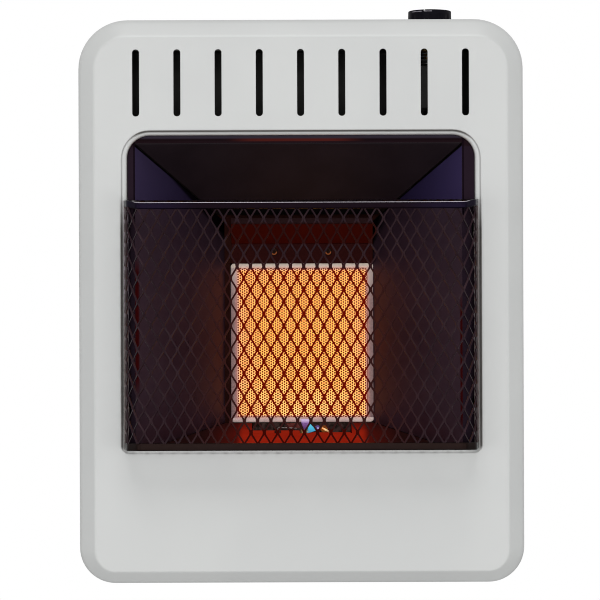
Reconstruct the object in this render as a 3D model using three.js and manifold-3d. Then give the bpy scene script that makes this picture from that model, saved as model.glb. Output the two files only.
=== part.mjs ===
// Wall mounted infrared gas heater with one glowing ceramic burner behind an expanded-metal guard.
// Millimetres. +Z is up, +X is to the right seen from the room, the wall is the plane y = 0 and the
// room is at -Y. The origin is the middle of the back face. "Depth" below is distance from the wall.
import * as THREE from 'three';
import { mergeVertices } from 'three/addons/utils/BufferGeometryUtils.js';
import Module from 'manifold-3d';

const wasm = await Module();
wasm.setup();

// ---------------------------------------------------------------- driving dimensions
const clearance = 0.3; // gap between pieces that touch
const steel = 1.2; // cabinet and front panel sheet
const thinSteel = 0.8; // reflector, guard frame and bracket sheet

// cabinet
const cabinetWidth = 400.6;
const cabinetHeight = 516;
const faceDepth = 165; // wall to the flat face of the front panel
const edgeFlange = 13; // turned-in front edge of the cabinet sides
const bentEdge = 10; // turned edges of the cabinet top and base

// front panel: a shallow pressed pan, wider than the cabinet all round
const panelCornerTop = 48;
const panelCornerBottom = 35;
const cornerMargin = 1.2; // room between the cabinet's square corner and the pan's round one
const bevelSide = 16;
const bevelTop = 17.6;
const bevelBottom = 11.8;
const bevelDepth = 11;
const creaseCornerTop = 30;
const creaseCornerBottom = 20;
const panWallDepth = 33; // straight wall of the pan behind the bevel
const tabHeight = 18; // ears of the pan that are screwed to the cabinet sides
const tabDepth = 14;
const tabOffset = 190; // height of the ears above and below the middle

// outlet slots above the window
const slotCount = 9;
const slotPitch = 40;
const slotWidth = 6.7;
const slotHeight = 65;
const slotCentreZ = 212;

// window and its pressed lip
const windowWidth = 340.5;
const windowTop = 161.9;
const windowBottom = -143.3;
const windowCornerTop = 16.2;
const windowCornerBottom = 1.5;
const lipWidth = 5.3;
const lipDepth = 9;

// firebox behind the window
const fireboxCentreX = -2.4;
const fireboxWidth = 318.5;
const fireboxTop = 153;
const fireboxBottom = -147.5;
const throatDepth = 66.5; // wall to the rear edge of the reflectors
const throatWidth = 149.8;
const hoodRearDepth = 74;
const hoodRearZ = 87;
const floorRearZ = -123;

// burner: a gas box closed by a perforated ceramic tile in a fibre gasket
const burnerCentreX = 0.9;
const burnerCentreZ = -42;
const tileWidth = 132;
const tileHeight = 151;
const tileThickness = 12;
const gasketSide = 6.2;
const gasketEnd = 4.9;
const gasketLap = 4; // gasket turned in behind the tile
const boxDepth = 38; // gas box behind the tile
const boxWall = 1.2;
const boxRim = 9;
const deflectorLipZ = 83.4;
const deflectorLip = 5.6;
const deflectorBendZ = 58;
const deflectorLength = 20; // upright part that the two screws hold
const deflectorReach = 12;
const deflectorShort = 1.2; // each end stops this far inside the gasket's edge
const burnerScrewSpacing = 54.6;
const mixerRadius = 11;
const mixerLength = 62;
const mixerMouthRadius = 16;
const mixerFlange = 5;
const mixerSides = 20;
const injectorGap = 9;
const injectorLength = 24;
const injectorRadius = 5.5;

// pilot assembly in front of the lower edge of the tile
const pilotBracketWidth = 98;
const pilotBracketTop = -122.4;
const pilotBracketHeight = 26;
const pilotDepth = 84;
const pilotNotchDepth = 98; // the floor starts in front of the pilot
const pilotAxisZ = -128.5;

// gas control on the right, worked from a knob above the cabinet
const knobX = 129.1;
const knobDepth = 95;
const knobRadius = 21.8;
const knobHeight = 26.4;
const knobWall = 2;
const knobFlutes = 14;
const pointerAngle = 22; // the pointer stands this far to the left of straight ahead
const knobTravel = 3;
const knobRise = 1.5; // gap left under the knob when it is pushed in
const stemRadius = 3;
const stemFlat = 2.2;
const plungerRadius = 6;
const plungerFlangeRadius = 10.4;
const plungerFlange = 2;
const plungerDrop = 8.8; // cabinet top sheet to the underside of the plunger's flange
const neckRadius = 7.6;
const neckHeight = 8;
const springWire = 1.3;
const springTurns = 5;
const valveDrop = 26; // cabinet top to the valve's upper face
const valveWidth = 40;
const valveHeight = 44;
const valveThickness = 38;
const valveEarSpacing = 56;
const valveEarRadius = 5;

// gas train
const gasPipeRadius = 4;
const pilotPipeRadius = 2.5;
const leadRadius = 1.6;
const pipeBend = 14;
const regulatorX = 152;
const regulatorDepth = 58;
const regulatorZ = -216;
const regulatorRadius = 23;
const regulatorHeight = 20;
const inletRadius = 7;
const inletBore = 3.6;
const inletDrop = 10; // inlet below the cabinet base

// wall bracket in a recess of the back
const bracketWidth = 300;
const bracketHeight = 42;
const bracketCentreZ = 184;
const bracketThickness = 1.5;
const recessDepth = 5;
const recessMargin = 4;
const hookSpacing = 200;
const hookWidth = 20;
const hookRise = 9;

// guard: a tray of expanded metal in a strip frame, hooked into the firebox frame
const guardDepth = 43; // how far it stands out from the panel face
const guardStandOff = 0.6;
const guardBackWidth = 344;
const guardBackTop = 98;
const guardBackBottom = -143.3;
const guardFrontWidth = 313;
const guardFrontTop = 94.3;
const guardFrontBottom = -142.5;
const guardFoldDepth = 11; // sloping fold between the walls and the front of the tray
const guardFoldShare = 0.75; // part of the walls' lean that the fold takes up
const guardTopStrip = 6.5;
const guardBottomStrip = 7.3;
const guardRailWidth = 4.5;
const meshThickness = 1.2;
const meshStrand = 2.2;
const meshBorder = 2;
const meshPitchX = 23; // a little under twice the pitch of the real half inch mesh
const meshPitchZ = 40;
const guardLift = 8;
const hookHeight = 7;
const hookFinger = 6;
const guardHookZ = [-110, 60];
const guardHookInset = 3; // hooks inside the edge of the window

// fasteners
const screwHeadRadius = 3.6;
const screwHeadHeight = 2;
const screwShankRadius = 1.8;
const screwLength = 6;

// ---------------------------------------------------------------- derived places
const cabinetHalf = cabinetWidth / 2;
const cabinetTopZ = cabinetHeight / 2;
const overhang = panelCornerTop * (1 - Math.SQRT1_2) + steel + cornerMargin;
const panelHalf = cabinetHalf + overhang;
const panelTopZ = cabinetTopZ + overhang;
const panRearDepth = faceDepth - bevelDepth - panWallDepth;
const lipRearDepth = faceDepth - lipDepth;
const frameFront = lipRearDepth - clearance;
const frameRear = frameFront - thinSteel;
const mountPlane = frameRear - clearance; // front edge of the cabinet and of the reflectors
const flangeRear = mountPlane - thinSteel;
const fireboxLeft = fireboxCentreX - fireboxWidth / 2;
const fireboxRight = fireboxCentreX + fireboxWidth / 2;
const throatLeft = fireboxCentreX - throatWidth / 2;
const throatRight = fireboxCentreX + throatWidth / 2;
const gasketHalfX = tileWidth / 2 + gasketSide;
const gasketHalfZ = tileHeight / 2 + gasketEnd;
const burnerPlateFront = throatDepth - clearance;
const burnerPlateRear = burnerPlateFront - thinSteel;
const boxRimFront = burnerPlateRear - clearance;
const tileRear = burnerPlateFront - tileThickness;
const gasketRear = tileRear - 2.5;
const gasketBottomZ = burnerCentreZ - gasketHalfZ;
const boxRear = gasketRear - boxDepth;
const mixerDepth = (gasketRear + boxRear) / 2;
const cupHalfX = gasketHalfX + clearance + boxWall;
const cupHalfZ = gasketHalfZ + clearance + boxWall;
const cupStep = gasketLap + gasketSide;
const boxBottomZ = burnerCentreZ - cupHalfZ + cupStep;
const mixerBottomZ = boxBottomZ - mixerLength;
const injectorTopZ = mixerBottomZ - injectorGap;
const valveTopZ = cabinetTopZ - valveDrop;
const valveBottomZ = valveTopZ - valveHeight;
const knobBottomZ = cabinetTopZ + knobTravel + knobRise;
const knobTopZ = knobBottomZ + knobHeight;
const flangeUnderZ = cabinetTopZ - steel - plungerDrop;
const guardBack = faceDepth + guardStandOff;
const guardFront = faceDepth + guardDepth;
const metal = (color, roughness, metalness = 1) =>
  new THREE.MeshStandardMaterial({ color, roughness, metalness });

const materials = {
  panelPaint: metal(0xcdcfce, 0.35, 0),
  cabinetPaint: metal(0x2b2b2d, 0.55, 0),
  galvanised: metal(0x9a9da0, 0.4),
  reflector: metal(0x4a4550, 0.22),
  guard: metal(0x4a4244, 0.4),
  ceramic: metal(0xff8a30, 0.9, 0),
  fibre: metal(0xb9b4ae, 0.95, 0),
  burnerSteel: metal(0x6a6a6c, 0.5),
  brass: metal(0xb9974f, 0.3),
  aluminium: metal(0xb4b7ba, 0.35),
  black: metal(0x101012, 0.35, 0),
  zinc: metal(0xa8abae, 0.35),
  copper: metal(0xa86b45, 0.35),
  whiteCeramic: metal(0xe8e6e0, 0.5, 0),
};

// ---------------------------------------------------------------- geometry helpers
// Turns every triangle round where the closed surface encloses a negative volume.
function outwardIndex(points, index) {
  const corner = (i) => new THREE.Vector3().fromArray(points, 3 * i);
  let volume = 0;
  for (let i = 0; i < index.length; i += 3) {
    volume += corner(index[i]).dot(corner(index[i + 1]).cross(corner(index[i + 2])));
  }
  return volume < 0 ? index.slice().reverse() : index;
}

// A closed geometry becomes a solid once its shared corners are merged.
function solid(geometry) {
  const bare = geometry.clone();
  bare.deleteAttribute('normal');
  bare.deleteAttribute('uv');
  const merged = mergeVertices(bare, 1e-4);
  const points = new Float32Array(merged.attributes.position.array);
  const index = new Uint32Array(merged.index.array);
  const mesh = new wasm.Mesh({ numProp: 3, vertProperties: points, triVerts: outwardIndex(points, index) });
  return new wasm.Manifold(mesh);
}

// A closed body given by its corners and its triangles.
function faceted(points, index) {
  const geometry = new THREE.BufferGeometry();
  geometry.setAttribute('position', new THREE.Float32BufferAttribute(points, 3));
  geometry.setIndex(index);
  return solid(geometry);
}

function toGeometry(manifold) {
  const mesh = manifold.getMesh();
  const geometry = new THREE.BufferGeometry();
  geometry.setAttribute('position', new THREE.BufferAttribute(new Float32Array(mesh.vertProperties), 3));
  geometry.setIndex(new THREE.BufferAttribute(new Uint32Array(mesh.triVerts), 1));
  const flat = geometry.toNonIndexed();
  flat.computeVertexNormals();
  return flat;
}

const join = (...pieces) => pieces.reduce((whole, piece) => whole.add(piece));
const cut = (body, ...tools) => tools.reduce((rest, tool) => rest.subtract(tool), body);

// A box between two values of x, of depth and of z.
function block([x0, x1], [d0, d1], [z0, z1]) {
  const box = new THREE.BoxGeometry(x1 - x0, d1 - d0, z1 - z0);
  box.translate((x0 + x1) / 2, -(d0 + d1) / 2, (z0 + z1) / 2);
  return solid(box);
}

// A sheet whose outline has two coordinates and whose two faces are placed by place(u, v, side).
function sheet(outline, place) {
  const flat = outline.map(([u, v]) => new THREE.Vector2(u, v));
  if (THREE.ShapeUtils.isClockWise(flat)) flat.reverse();
  const caps = THREE.ShapeUtils.triangulateShape(flat, []);
  const count = flat.length;
  const points = [0, 1].flatMap((side) => flat.flatMap((p) => place(p.x, p.y, side)));
  const index = caps.flatMap(([a, b, c]) => [a, c, b, a + count, b + count, c + count]);
  for (let i = 0; i < count; i += 1) {
    const next = (i + 1) % count;
    index.push(i, next, next + count, i, next + count, i + count);
  }
  return faceted(points, index);
}

// A round-cornered outline in x and z, counter-clockwise from the lower right corner.
function roundedOutline({ x0, x1, z0, z1, top, bottom, steps = 7 }) {
  const corners = [
    [x1 - bottom, z0 + bottom, bottom, -Math.PI / 2],
    [x1 - top, z1 - top, top, 0],
    [x0 + top, z1 - top, top, Math.PI / 2],
    [x0 + bottom, z0 + bottom, bottom, Math.PI],
  ];
  return corners.flatMap(([cx, cz, radius, start]) =>
    Array.from({ length: steps + 1 }, (_, i) => {
      const angle = start + (i / steps) * (Math.PI / 2);
      return [cx + radius * Math.cos(angle), cz + radius * Math.sin(angle)];
    }));
}

// A closed body through a stack of outlines with equally many points, each at its own depth.
function stack(rings) {
  const count = rings[0].outline.length;
  const points = rings.flatMap(({ outline, depth }) => outline.flatMap(([x, z]) => [x, -depth, z]));
  const index = [];
  for (let r = 0; r < rings.length - 1; r += 1) {
    for (let i = 0; i < count; i += 1) {
      const a = r * count + i;
      const b = r * count + ((i + 1) % count);
      index.push(a, b, b + count, a, b + count, a + count);
    }
  }
  const ends = [0, rings.length - 1].map((r) => ({
    start: r * count,
    caps: THREE.ShapeUtils.triangulateShape(
      rings[r].outline.map(([x, z]) => new THREE.Vector2(x, z)), []),
  }));
  ends[0].caps.forEach(([a, b, c]) => index.push(a, c, b));
  ends[1].caps.forEach(([a, b, c]) => index.push(a + ends[1].start, b + ends[1].start, c + ends[1].start));
  return faceted(points, index);
}

const slabOf = (outline, depth0, depth1) => stack([{ outline, depth: depth0 }, { outline, depth: depth1 }]);

// A turned body: profile of [radius, height] points, about an axis through (x, depth, z).
const AXES = {
  up: (g) => g.rotateX(Math.PI / 2),
  right: (g) => g.rotateX(Math.PI / 2).rotateY(Math.PI / 2),
  left: (g) => g.rotateX(Math.PI / 2).rotateY(-Math.PI / 2),
  room: (g) => g.rotateX(Math.PI),
};

function turned(profile, [x, depth, z], axis = 'up', segments = 16) {
  const points = profile.map(([radius, height]) => new THREE.Vector2(radius, height));
  const lathe = new THREE.LatheGeometry(points, segments);
  AXES[axis](lathe);
  lathe.translate(x, -depth, z);
  return solid(lathe);
}

const rodProfile = (radius, z0, z1) => [[0, z0], [radius, z0], [radius, z1], [0, z1]];
const rod = (radius, from, to, at, axis = 'up', segments = 16) =>
  turned(rodProfile(radius, from, to), at, axis, segments);

// A pipe's middle line: straight runs between corners, which are rounded off to one radius.
class PipeRun extends THREE.Curve {
  constructor(corners, bendRadius, bendSteps = 4) {
    super();
    const places = corners.map(([x, depth, z]) => new THREE.Vector3(x, -depth, z));
    this.stations = [places[0]];
    this.headings = [places[1].clone().sub(places[0]).normalize()];
    for (let i = 1; i < places.length - 1; i += 1) {
      const incoming = places[i].clone().sub(places[i - 1]).normalize();
      const outgoing = places[i + 1].clone().sub(places[i]).normalize();
      const start = places[i].clone().addScaledVector(incoming, -bendRadius);
      const end = places[i].clone().addScaledVector(outgoing, bendRadius);
      const bend = new THREE.QuadraticBezierCurve3(start, places[i], end);
      for (let k = 0; k <= bendSteps; k += 1) {
        this.stations.push(bend.getPoint(k / bendSteps));
        this.headings.push(bend.getTangent(k / bendSteps));
      }
    }
    this.stations.push(places.at(-1));
    this.headings.push(places.at(-1).clone().sub(places.at(-2)).normalize());
  }

  get steps() {
    return this.stations.length - 1;
  }

  getPoint(t) {
    return this.stations[Math.round(t * this.steps)].clone();
  }

  getPointAt(t) {
    return this.getPoint(t);
  }

  getTangentAt(t, target = new THREE.Vector3()) {
    return target.copy(this.headings[Math.round(t * this.steps)]);
  }
}

function polygon(radius, sides) {
  const corner = (_, i) => new THREE.Vector2(
    radius * Math.cos((2 * Math.PI * i) / sides), radius * Math.sin((2 * Math.PI * i) / sides));
  return Array.from({ length: sides }, corner);
}

function pipe(corners, radius, bendRadius = pipeBend, sides = 8) {
  const run = new PipeRun(corners, bendRadius);
  const section = new THREE.Shape(polygon(radius, sides));
  return solid(new THREE.ExtrudeGeometry(section, {
    steps: run.steps, bevelEnabled: false, extrudePath: run }));
}

// A pan head screw whose head sits at the given place and whose shank runs back along the axis.
function screw(at, axis, headRadius = screwHeadRadius) {
  return turned([
    [0, -screwLength], [screwShankRadius, -screwLength], [screwShankRadius, 0], [headRadius, 0],
    [headRadius, screwHeadHeight * 0.55], [headRadius * 0.62, screwHeadHeight], [0, screwHeadHeight],
  ], at, axis, 12);
}

const model = new THREE.Group();

function add(name, shape, material) {
  const mesh = new THREE.Mesh(toGeometry(shape), material);
  mesh.name = name;
  model.add(mesh);
}

// ---------------------------------------------------------------- front panel
// One outline of the pan: bevel goes from 0 at the wall to 1 at the crease, inset shrinks it evenly.
function panelRing(bevel, inset, depth) {
  const outline = roundedOutline({
    x0: -panelHalf + bevel * bevelSide + inset,
    x1: panelHalf - bevel * bevelSide - inset,
    z0: -panelTopZ + bevel * bevelBottom + inset,
    z1: panelTopZ - bevel * bevelTop - inset,
    top: panelCornerTop + bevel * (creaseCornerTop - panelCornerTop) - inset,
    bottom: panelCornerBottom + bevel * (creaseCornerBottom - panelCornerBottom) - inset,
  });
  return { outline, depth };
}

function windowRing(grow, depth) {
  const outline = roundedOutline({
    x0: -windowWidth / 2 - grow,
    x1: windowWidth / 2 + grow,
    z0: windowBottom - grow,
    z1: windowTop + grow,
    top: windowCornerTop + grow,
    bottom: windowCornerBottom + grow,
    steps: 5,
  });
  return { outline, depth };
}

function outletSlot(x) {
  const half = slotHeight / 2;
  const outline = roundedOutline({
    x0: x - slotWidth / 2, x1: x + slotWidth / 2, z0: slotCentreZ - half, z1: slotCentreZ + half,
    top: slotWidth / 2 - 0.01, bottom: slotWidth / 2 - 0.01, steps: 3 });
  return slabOf(outline, faceDepth - 3 * steel, faceDepth + steel);
}

function panelTab(side, z) {
  const inner = cabinetHalf + clearance;
  const xs = side > 0 ? [inner, inner + steel] : [-inner - steel, -inner];
  const tab = block(xs, [panRearDepth - tabDepth, panRearDepth + steel / 2],
    [z - tabHeight / 2, z + tabHeight / 2]);
  const hole = rod(screwShankRadius + clearance, -3 * steel, 3 * steel,
    [side * inner, panRearDepth - tabDepth / 2, z], 'right', 12);
  return { tab, hole };
}

const panelTabs = [-1, 1].flatMap((side) => [-tabOffset, tabOffset].map((z) => ({ side, z })));

function frontPanel() {
  const wallEnd = faceDepth - bevelDepth;
  const bend = 2.5; // rounding of the two bends beside the bevel
  const bendShare = bend / bevelSide;
  const skin = stack([
    panelRing(0, 0, panRearDepth),
    panelRing(0, 0, wallEnd - bend),
    panelRing(bendShare / 2, 0, wallEnd + bend / 3),
    panelRing(1 - bendShare / 2, 0, faceDepth - bend / 3),
    panelRing(1 + bendShare, 0, faceDepth),
  ]);
  const hollow = stack([
    panelRing(0, steel, panRearDepth - steel),
    panelRing(0, steel, wallEnd - bend),
    panelRing(bendShare / 2, steel, wallEnd + bend / 3 - steel / 2),
    panelRing(1 - bendShare / 2, steel / 2, faceDepth - bend / 3 - steel),
    panelRing(1 + bendShare, 0, faceDepth - steel),
  ]);
  const rearRim = slabOf(panelRing(0, 0, 0).outline, panRearDepth, panRearDepth + steel);
  const cabinetHole = block(
    [-cabinetHalf - clearance, cabinetHalf + clearance], [0, faceDepth - bevelDepth],
    [-cabinetTopZ - clearance, cabinetTopZ + clearance]);
  const lip = stack([
    windowRing(lipWidth + steel, faceDepth - steel),
    windowRing(lipWidth * 0.45 + steel, faceDepth - lipDepth * 0.42),
    windowRing(steel, lipRearDepth),
  ]);
  const opening = stack([
    windowRing(lipWidth, faceDepth + 1),
    windowRing(lipWidth, faceDepth),
    windowRing(lipWidth * 0.6, faceDepth - lipDepth * 0.14),
    windowRing(lipWidth * 0.2, faceDepth - lipDepth * 0.5),
    windowRing(0, lipRearDepth + 0.5),
    windowRing(0, lipRearDepth - 1),
  ]);
  const tabs = panelTabs.map(({ side, z }) => panelTab(side, z));
  const firstSlot = (-(slotCount - 1) / 2) * slotPitch;
  const slots = Array.from({ length: slotCount }, (_, i) => outletSlot(firstSlot + i * slotPitch));
  const pan = join(cut(skin, hollow), cut(rearRim, cabinetHole), lip, ...tabs.map((t) => t.tab));
  return cut(pan, opening, ...slots, ...tabs.map((t) => t.hole));
}

// ---------------------------------------------------------------- cabinet
const recessHalfX = bracketWidth / 2 + recessMargin;
const recessHalfZ = bracketHeight / 2 + recessMargin;
const hookXs = [-hookSpacing / 2, hookSpacing / 2];
const hookLegBottom = bracketCentreZ - 6;
const hookLegTop = hookLegBottom + 5;

function cabinetBack() {
  const recess = [bracketCentreZ - recessHalfZ, bracketCentreZ + recessHalfZ];
  const panel = block([-cabinetHalf, cabinetHalf], [0, steel], [-cabinetTopZ, cabinetTopZ]);
  const dimple = block([-recessHalfX - steel, recessHalfX + steel], [0, recessDepth + steel],
    [recess[0] - steel, recess[1] + steel]);
  const pocket = block([-recessHalfX, recessHalfX], [-1, recessDepth], recess);
  const hookSlots = hookXs.map((x) => block(
    [x - hookWidth / 2 - 1, x + hookWidth / 2 + 1], [recessDepth - 1, recessDepth + 2 * steel],
    [hookLegBottom - hookRise - 1, hookLegTop + clearance]));
  return cut(join(panel, dimple), pocket, ...hookSlots);
}

function cabinetSide(side) {
  const outer = side * cabinetHalf;
  const span = (reach) => [Math.min(outer, outer - side * reach), Math.max(outer, outer - side * reach)];
  const heights = [-cabinetTopZ, cabinetTopZ];
  const wall = block(span(steel), [steel + clearance, mountPlane], heights);
  const frontEdge = block(span(edgeFlange), [flangeRear, mountPlane], heights);
  const holes = panelTabs.filter((t) => t.side === side).map((t) => panelTab(side, t.z).hole);
  return cut(join(wall, frontEdge), ...holes);
}

const innerHalf = cabinetHalf - steel - clearance;
const ventRows = [28, 50];
const ventColumns = [-170, -105, -40, 25];
const ventLength = 52;
const ventWidth = 6;

function ventSlots(z) {
  return ventRows.flatMap((depth) => ventColumns.map((x) => block(
    [x, x + ventLength], [depth, depth + ventWidth], [z - 2 * steel, z + 2 * steel])));
}

// The top and the base: a sheet between the sides with edges bent along them.
function cabinetLid(z, side) {
  const inner = z - side * steel;
  const edge = z - side * bentEdge;
  const depths = [steel + clearance, flangeRear - clearance];
  const plate = block([-innerHalf, innerHalf], depths, [Math.min(z, inner), Math.max(z, inner)]);
  const bent = [-1, 1].map((s) => block(
    [Math.min(s * innerHalf, s * (innerHalf - steel)), Math.max(s * innerHalf, s * (innerHalf - steel))],
    depths, [Math.min(z, edge), Math.max(z, edge)]));
  return join(plate, ...bent);
}

const valveEarXs = [-1, 1].map((s) => knobX + (s * valveEarSpacing) / 2);

function cabinetTop() {
  const stemHole = rod(plungerRadius + 1, -3 * steel, 3 * steel, [knobX, knobDepth, cabinetTopZ]);
  const earHoles = valveEarXs.map((x) =>
    rod(screwShankRadius + clearance, -3 * steel, 3 * steel, [x, knobDepth, cabinetTopZ], 'up', 12));
  return cut(cabinetLid(cabinetTopZ, 1), stemHole, ...earHoles, ...ventSlots(cabinetTopZ));
}

function cabinetBase() {
  const inletHole = rod(inletRadius + 1, -3 * steel, 3 * steel, [regulatorX, regulatorDepth, -cabinetTopZ]);
  return cut(cabinetLid(-cabinetTopZ, -1), inletHole, ...ventSlots(-cabinetTopZ));
}

function wallBracket() {
  const zs = [bracketCentreZ - bracketHeight / 2, bracketCentreZ + bracketHeight / 2];
  const plate = block([-bracketWidth / 2, bracketWidth / 2], [0, bracketThickness], zs);
  const fingerDepth = recessDepth + steel + clearance;
  const hooks = hookXs.map((x) => {
    const xs = [x - hookWidth / 2, x + hookWidth / 2];
    const leg = block(xs, [0, fingerDepth + bracketThickness], [hookLegTop - bracketThickness, hookLegTop]);
    const finger = block(xs, [fingerDepth, fingerDepth + bracketThickness],
      [hookLegTop - bracketThickness, hookLegTop + hookRise]);
    return join(leg, finger);
  });
  const holes = [-0.4, 0, 0.4].map((share) => rod(2.6, -2 * steel, 3 * steel,
    [share * bracketWidth, bracketThickness / 2, bracketCentreZ + bracketHeight / 4], 'room', 12));
  return cut(join(plate, ...hooks), ...holes);
}

// ---------------------------------------------------------------- guard hooks and their slots
const guardHookX = windowWidth / 2 - guardHookInset;
const hookSlotHeight = hookHeight + guardLift + 2 * clearance + 1;

function hookSlot(side, z) {
  const centre = side * (guardHookX + thinSteel / 2);
  return block([centre - 1.3, centre + 1.3], [flangeRear - 1, frameFront + 1],
    [z - clearance, z - clearance + hookSlotHeight]);
}

const hookSlots = [-1, 1].flatMap((side) => guardHookZ.map((z) => hookSlot(side, z)));

// ---------------------------------------------------------------- firebox
function fireboxFrame() {
  const outer = block([-cabinetHalf + 1, cabinetHalf - 1], [frameRear, frameFront],
    [windowBottom - 18, windowTop + 14]);
  const hole = block([fireboxLeft, fireboxRight], [frameRear - 1, frameFront + 1],
    [fireboxBottom - 1, fireboxTop + 1]);
  return cut(outer, hole, ...hookSlots);
}

const between = (a, b, share) => a + (b - a) * share;
const depthShare = (depth, rear) => (depth - rear) / (mountPlane - rear);
const hoodZ = (depth) => between(hoodRearZ, fireboxTop, depthShare(depth, hoodRearDepth));
const floorZ = (depth) => between(floorRearZ, fireboxBottom, depthShare(depth, throatDepth));
const wallX = (side, depth) => (side < 0
  ? between(throatLeft, fireboxLeft, depthShare(depth, throatDepth))
  : between(throatRight, fireboxRight, depthShare(depth, throatDepth)));
const seam = 0.4; // open mitre between two reflectors
const reflectorFlange = 9;

function sideReflector(side) {
  const outline = [
    [mountPlane, floorZ(mountPlane) + seam], [mountPlane, hoodZ(mountPlane) - seam],
    [throatDepth, hoodZ(throatDepth) - seam], [throatDepth, floorZ(throatDepth) + seam],
  ];
  const wall = sheet(outline, (depth, z, layer) =>
    [wallX(side, depth) + side * layer * thinSteel * 1.4, -depth, z]);
  const edge = side < 0 ? fireboxLeft : fireboxRight;
  const flange = block(
    [Math.min(edge, edge + side * reflectorFlange), Math.max(edge, edge + side * reflectorFlange)],
    [flangeRear, mountPlane], [fireboxBottom + seam, fireboxTop - seam]);
  return cut(join(wall, flange), ...hookSlots);
}

function hoodReflector() {
  const outline = [
    [wallX(-1, mountPlane) + seam, mountPlane], [wallX(1, mountPlane) - seam, mountPlane],
    [wallX(1, hoodRearDepth) - seam, hoodRearDepth], [wallX(-1, hoodRearDepth) + seam, hoodRearDepth],
  ];
  const slope = sheet(outline, (x, depth, layer) => [x, -depth, hoodZ(depth) + layer * thinSteel * 1.3]);
  const flange = block([fireboxLeft + seam, fireboxRight - seam], [flangeRear, mountPlane],
    [fireboxTop, fireboxTop + reflectorFlange]);
  return join(slope, flange);
}

function floorReflector() {
  const notch = pilotBracketWidth / 2 + 1;
  const outline = [
    [wallX(-1, mountPlane) + seam, mountPlane], [wallX(1, mountPlane) - seam, mountPlane],
    [wallX(1, throatDepth) - seam, throatDepth], [notch, throatDepth], [notch, pilotNotchDepth],
    [-notch, pilotNotchDepth], [-notch, throatDepth], [wallX(-1, throatDepth) + seam, throatDepth],
  ];
  const slope = sheet(outline, (x, depth, layer) => [x, -depth, floorZ(depth) - layer * thinSteel]);
  const flange = block([fireboxLeft + seam, fireboxRight - seam], [flangeRear, mountPlane],
    [fireboxBottom - reflectorFlange, fireboxBottom]);
  return join(slope, flange);
}

// ---------------------------------------------------------------- burner
const burnerX = (half) => [burnerCentreX - half, burnerCentreX + half];
const burnerZ = (half) => [burnerCentreZ - half, burnerCentreZ + half];
const burnerScrewXs = [-1, 1].map((s) => (s * burnerScrewSpacing) / 2);
const burnerScrewZ = deflectorBendZ - deflectorLength * 0.42;

function burnerPlate() {
  const plate = block([throatLeft - 14, throatRight + 14], [burnerPlateRear, burnerPlateFront],
    [gasketBottomZ - 14, hoodRearZ + 6]);
  const hole = block(burnerX(gasketHalfX + clearance), [burnerPlateRear - 1, burnerPlateFront + 1],
    burnerZ(gasketHalfZ + clearance));
  const screwHoles = burnerScrewXs.map((x) => rod(screwShankRadius + clearance, -2, 2,
    [x, burnerPlateFront, burnerScrewZ], 'room', 12));
  return cut(plate, hole, ...screwHoles);
}

function burnerGasket() {
  const ring = block(burnerX(gasketHalfX), [gasketRear, burnerPlateFront - 0.4], burnerZ(gasketHalfZ));
  const seat = block(burnerX(tileWidth / 2 + clearance), [tileRear - clearance, burnerPlateFront + 1],
    burnerZ(tileHeight / 2 + clearance));
  const hole = block(burnerX(tileWidth / 2 - gasketLap), [gasketRear - 1, tileRear],
    burnerZ(tileHeight / 2 - gasketLap));
  return cut(ring, seat, hole);
}

function burnerBox() {
  const cup = block(burnerX(cupHalfX), [gasketRear - clearance - boxWall, boxRimFront], burnerZ(cupHalfZ));
  const gasBox = block(burnerX(cupHalfX - cupStep), [boxRear, gasketRear], burnerZ(cupHalfZ - cupStep));
  const rim = block(burnerX(cupHalfX + boxRim), [boxRimFront - boxWall, boxRimFront],
    [burnerCentreZ - cupHalfZ - boxRim, burnerScrewZ + screwHeadRadius + 2]);
  const gasketRoom = block(burnerX(gasketHalfX + clearance), [gasketRear - clearance, boxRimFront + 1],
    burnerZ(gasketHalfZ + clearance));
  const gasRoom = block(burnerX(cupHalfX - cupStep - boxWall), [boxRear + boxWall, gasketRear],
    burnerZ(cupHalfZ - cupStep - boxWall));
  const mixerHole = rod(mixerRadius + clearance, -5, 5,
    [burnerCentreX, mixerDepth, boxBottomZ], 'up', mixerSides);
  const screwHoles = burnerScrewXs.map((x) => rod(screwShankRadius + clearance, -3, 3,
    [x, boxRimFront, burnerScrewZ], 'room', 12));
  return cut(join(cup, gasBox, rim), gasketRoom, gasRoom, mixerHole, ...screwHoles);
}

// The mixing tube narrows to a throat and flares to a bell over the gas jet.
function mixingTube() {
  const wall = 1.2;
  const flangeZ = boxBottomZ - clearance;
  const profile = [
    [mixerRadius, flangeZ + 9], [mixerRadius, flangeZ], [mixerRadius + mixerFlange, flangeZ],
    [mixerRadius + mixerFlange, flangeZ - 1.2], [mixerRadius, flangeZ - 1.2],
    [mixerRadius - 2, mixerBottomZ + 22], [mixerRadius, mixerBottomZ + 12],
    [mixerMouthRadius, mixerBottomZ], [mixerMouthRadius - wall, mixerBottomZ],
    [mixerRadius - wall, mixerBottomZ + 12], [mixerRadius - 2 - wall, mixerBottomZ + 22],
    [mixerRadius - wall, flangeZ - 1.2], [mixerRadius - wall, flangeZ + 9], [mixerRadius, flangeZ + 9],
  ];
  return turned(profile, [burnerCentreX, mixerDepth, 0], 'up', mixerSides);
}

function injector() {
  const top = injectorTopZ;
  const jet = turned([
    [0, top - injectorLength], [injectorRadius, top - injectorLength], [injectorRadius, top - 8],
    [injectorRadius * 0.6, top - 7], [injectorRadius * 0.45, top], [0, top],
  ], [burnerCentreX, mixerDepth, 0], 'up', 12);
  const hexagon = turned(rodProfile(injectorRadius * 1.6, top - 15, top - 9),
    [burnerCentreX, mixerDepth, 0], 'up', 6);
  return join(jet, hexagon);
}

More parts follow.
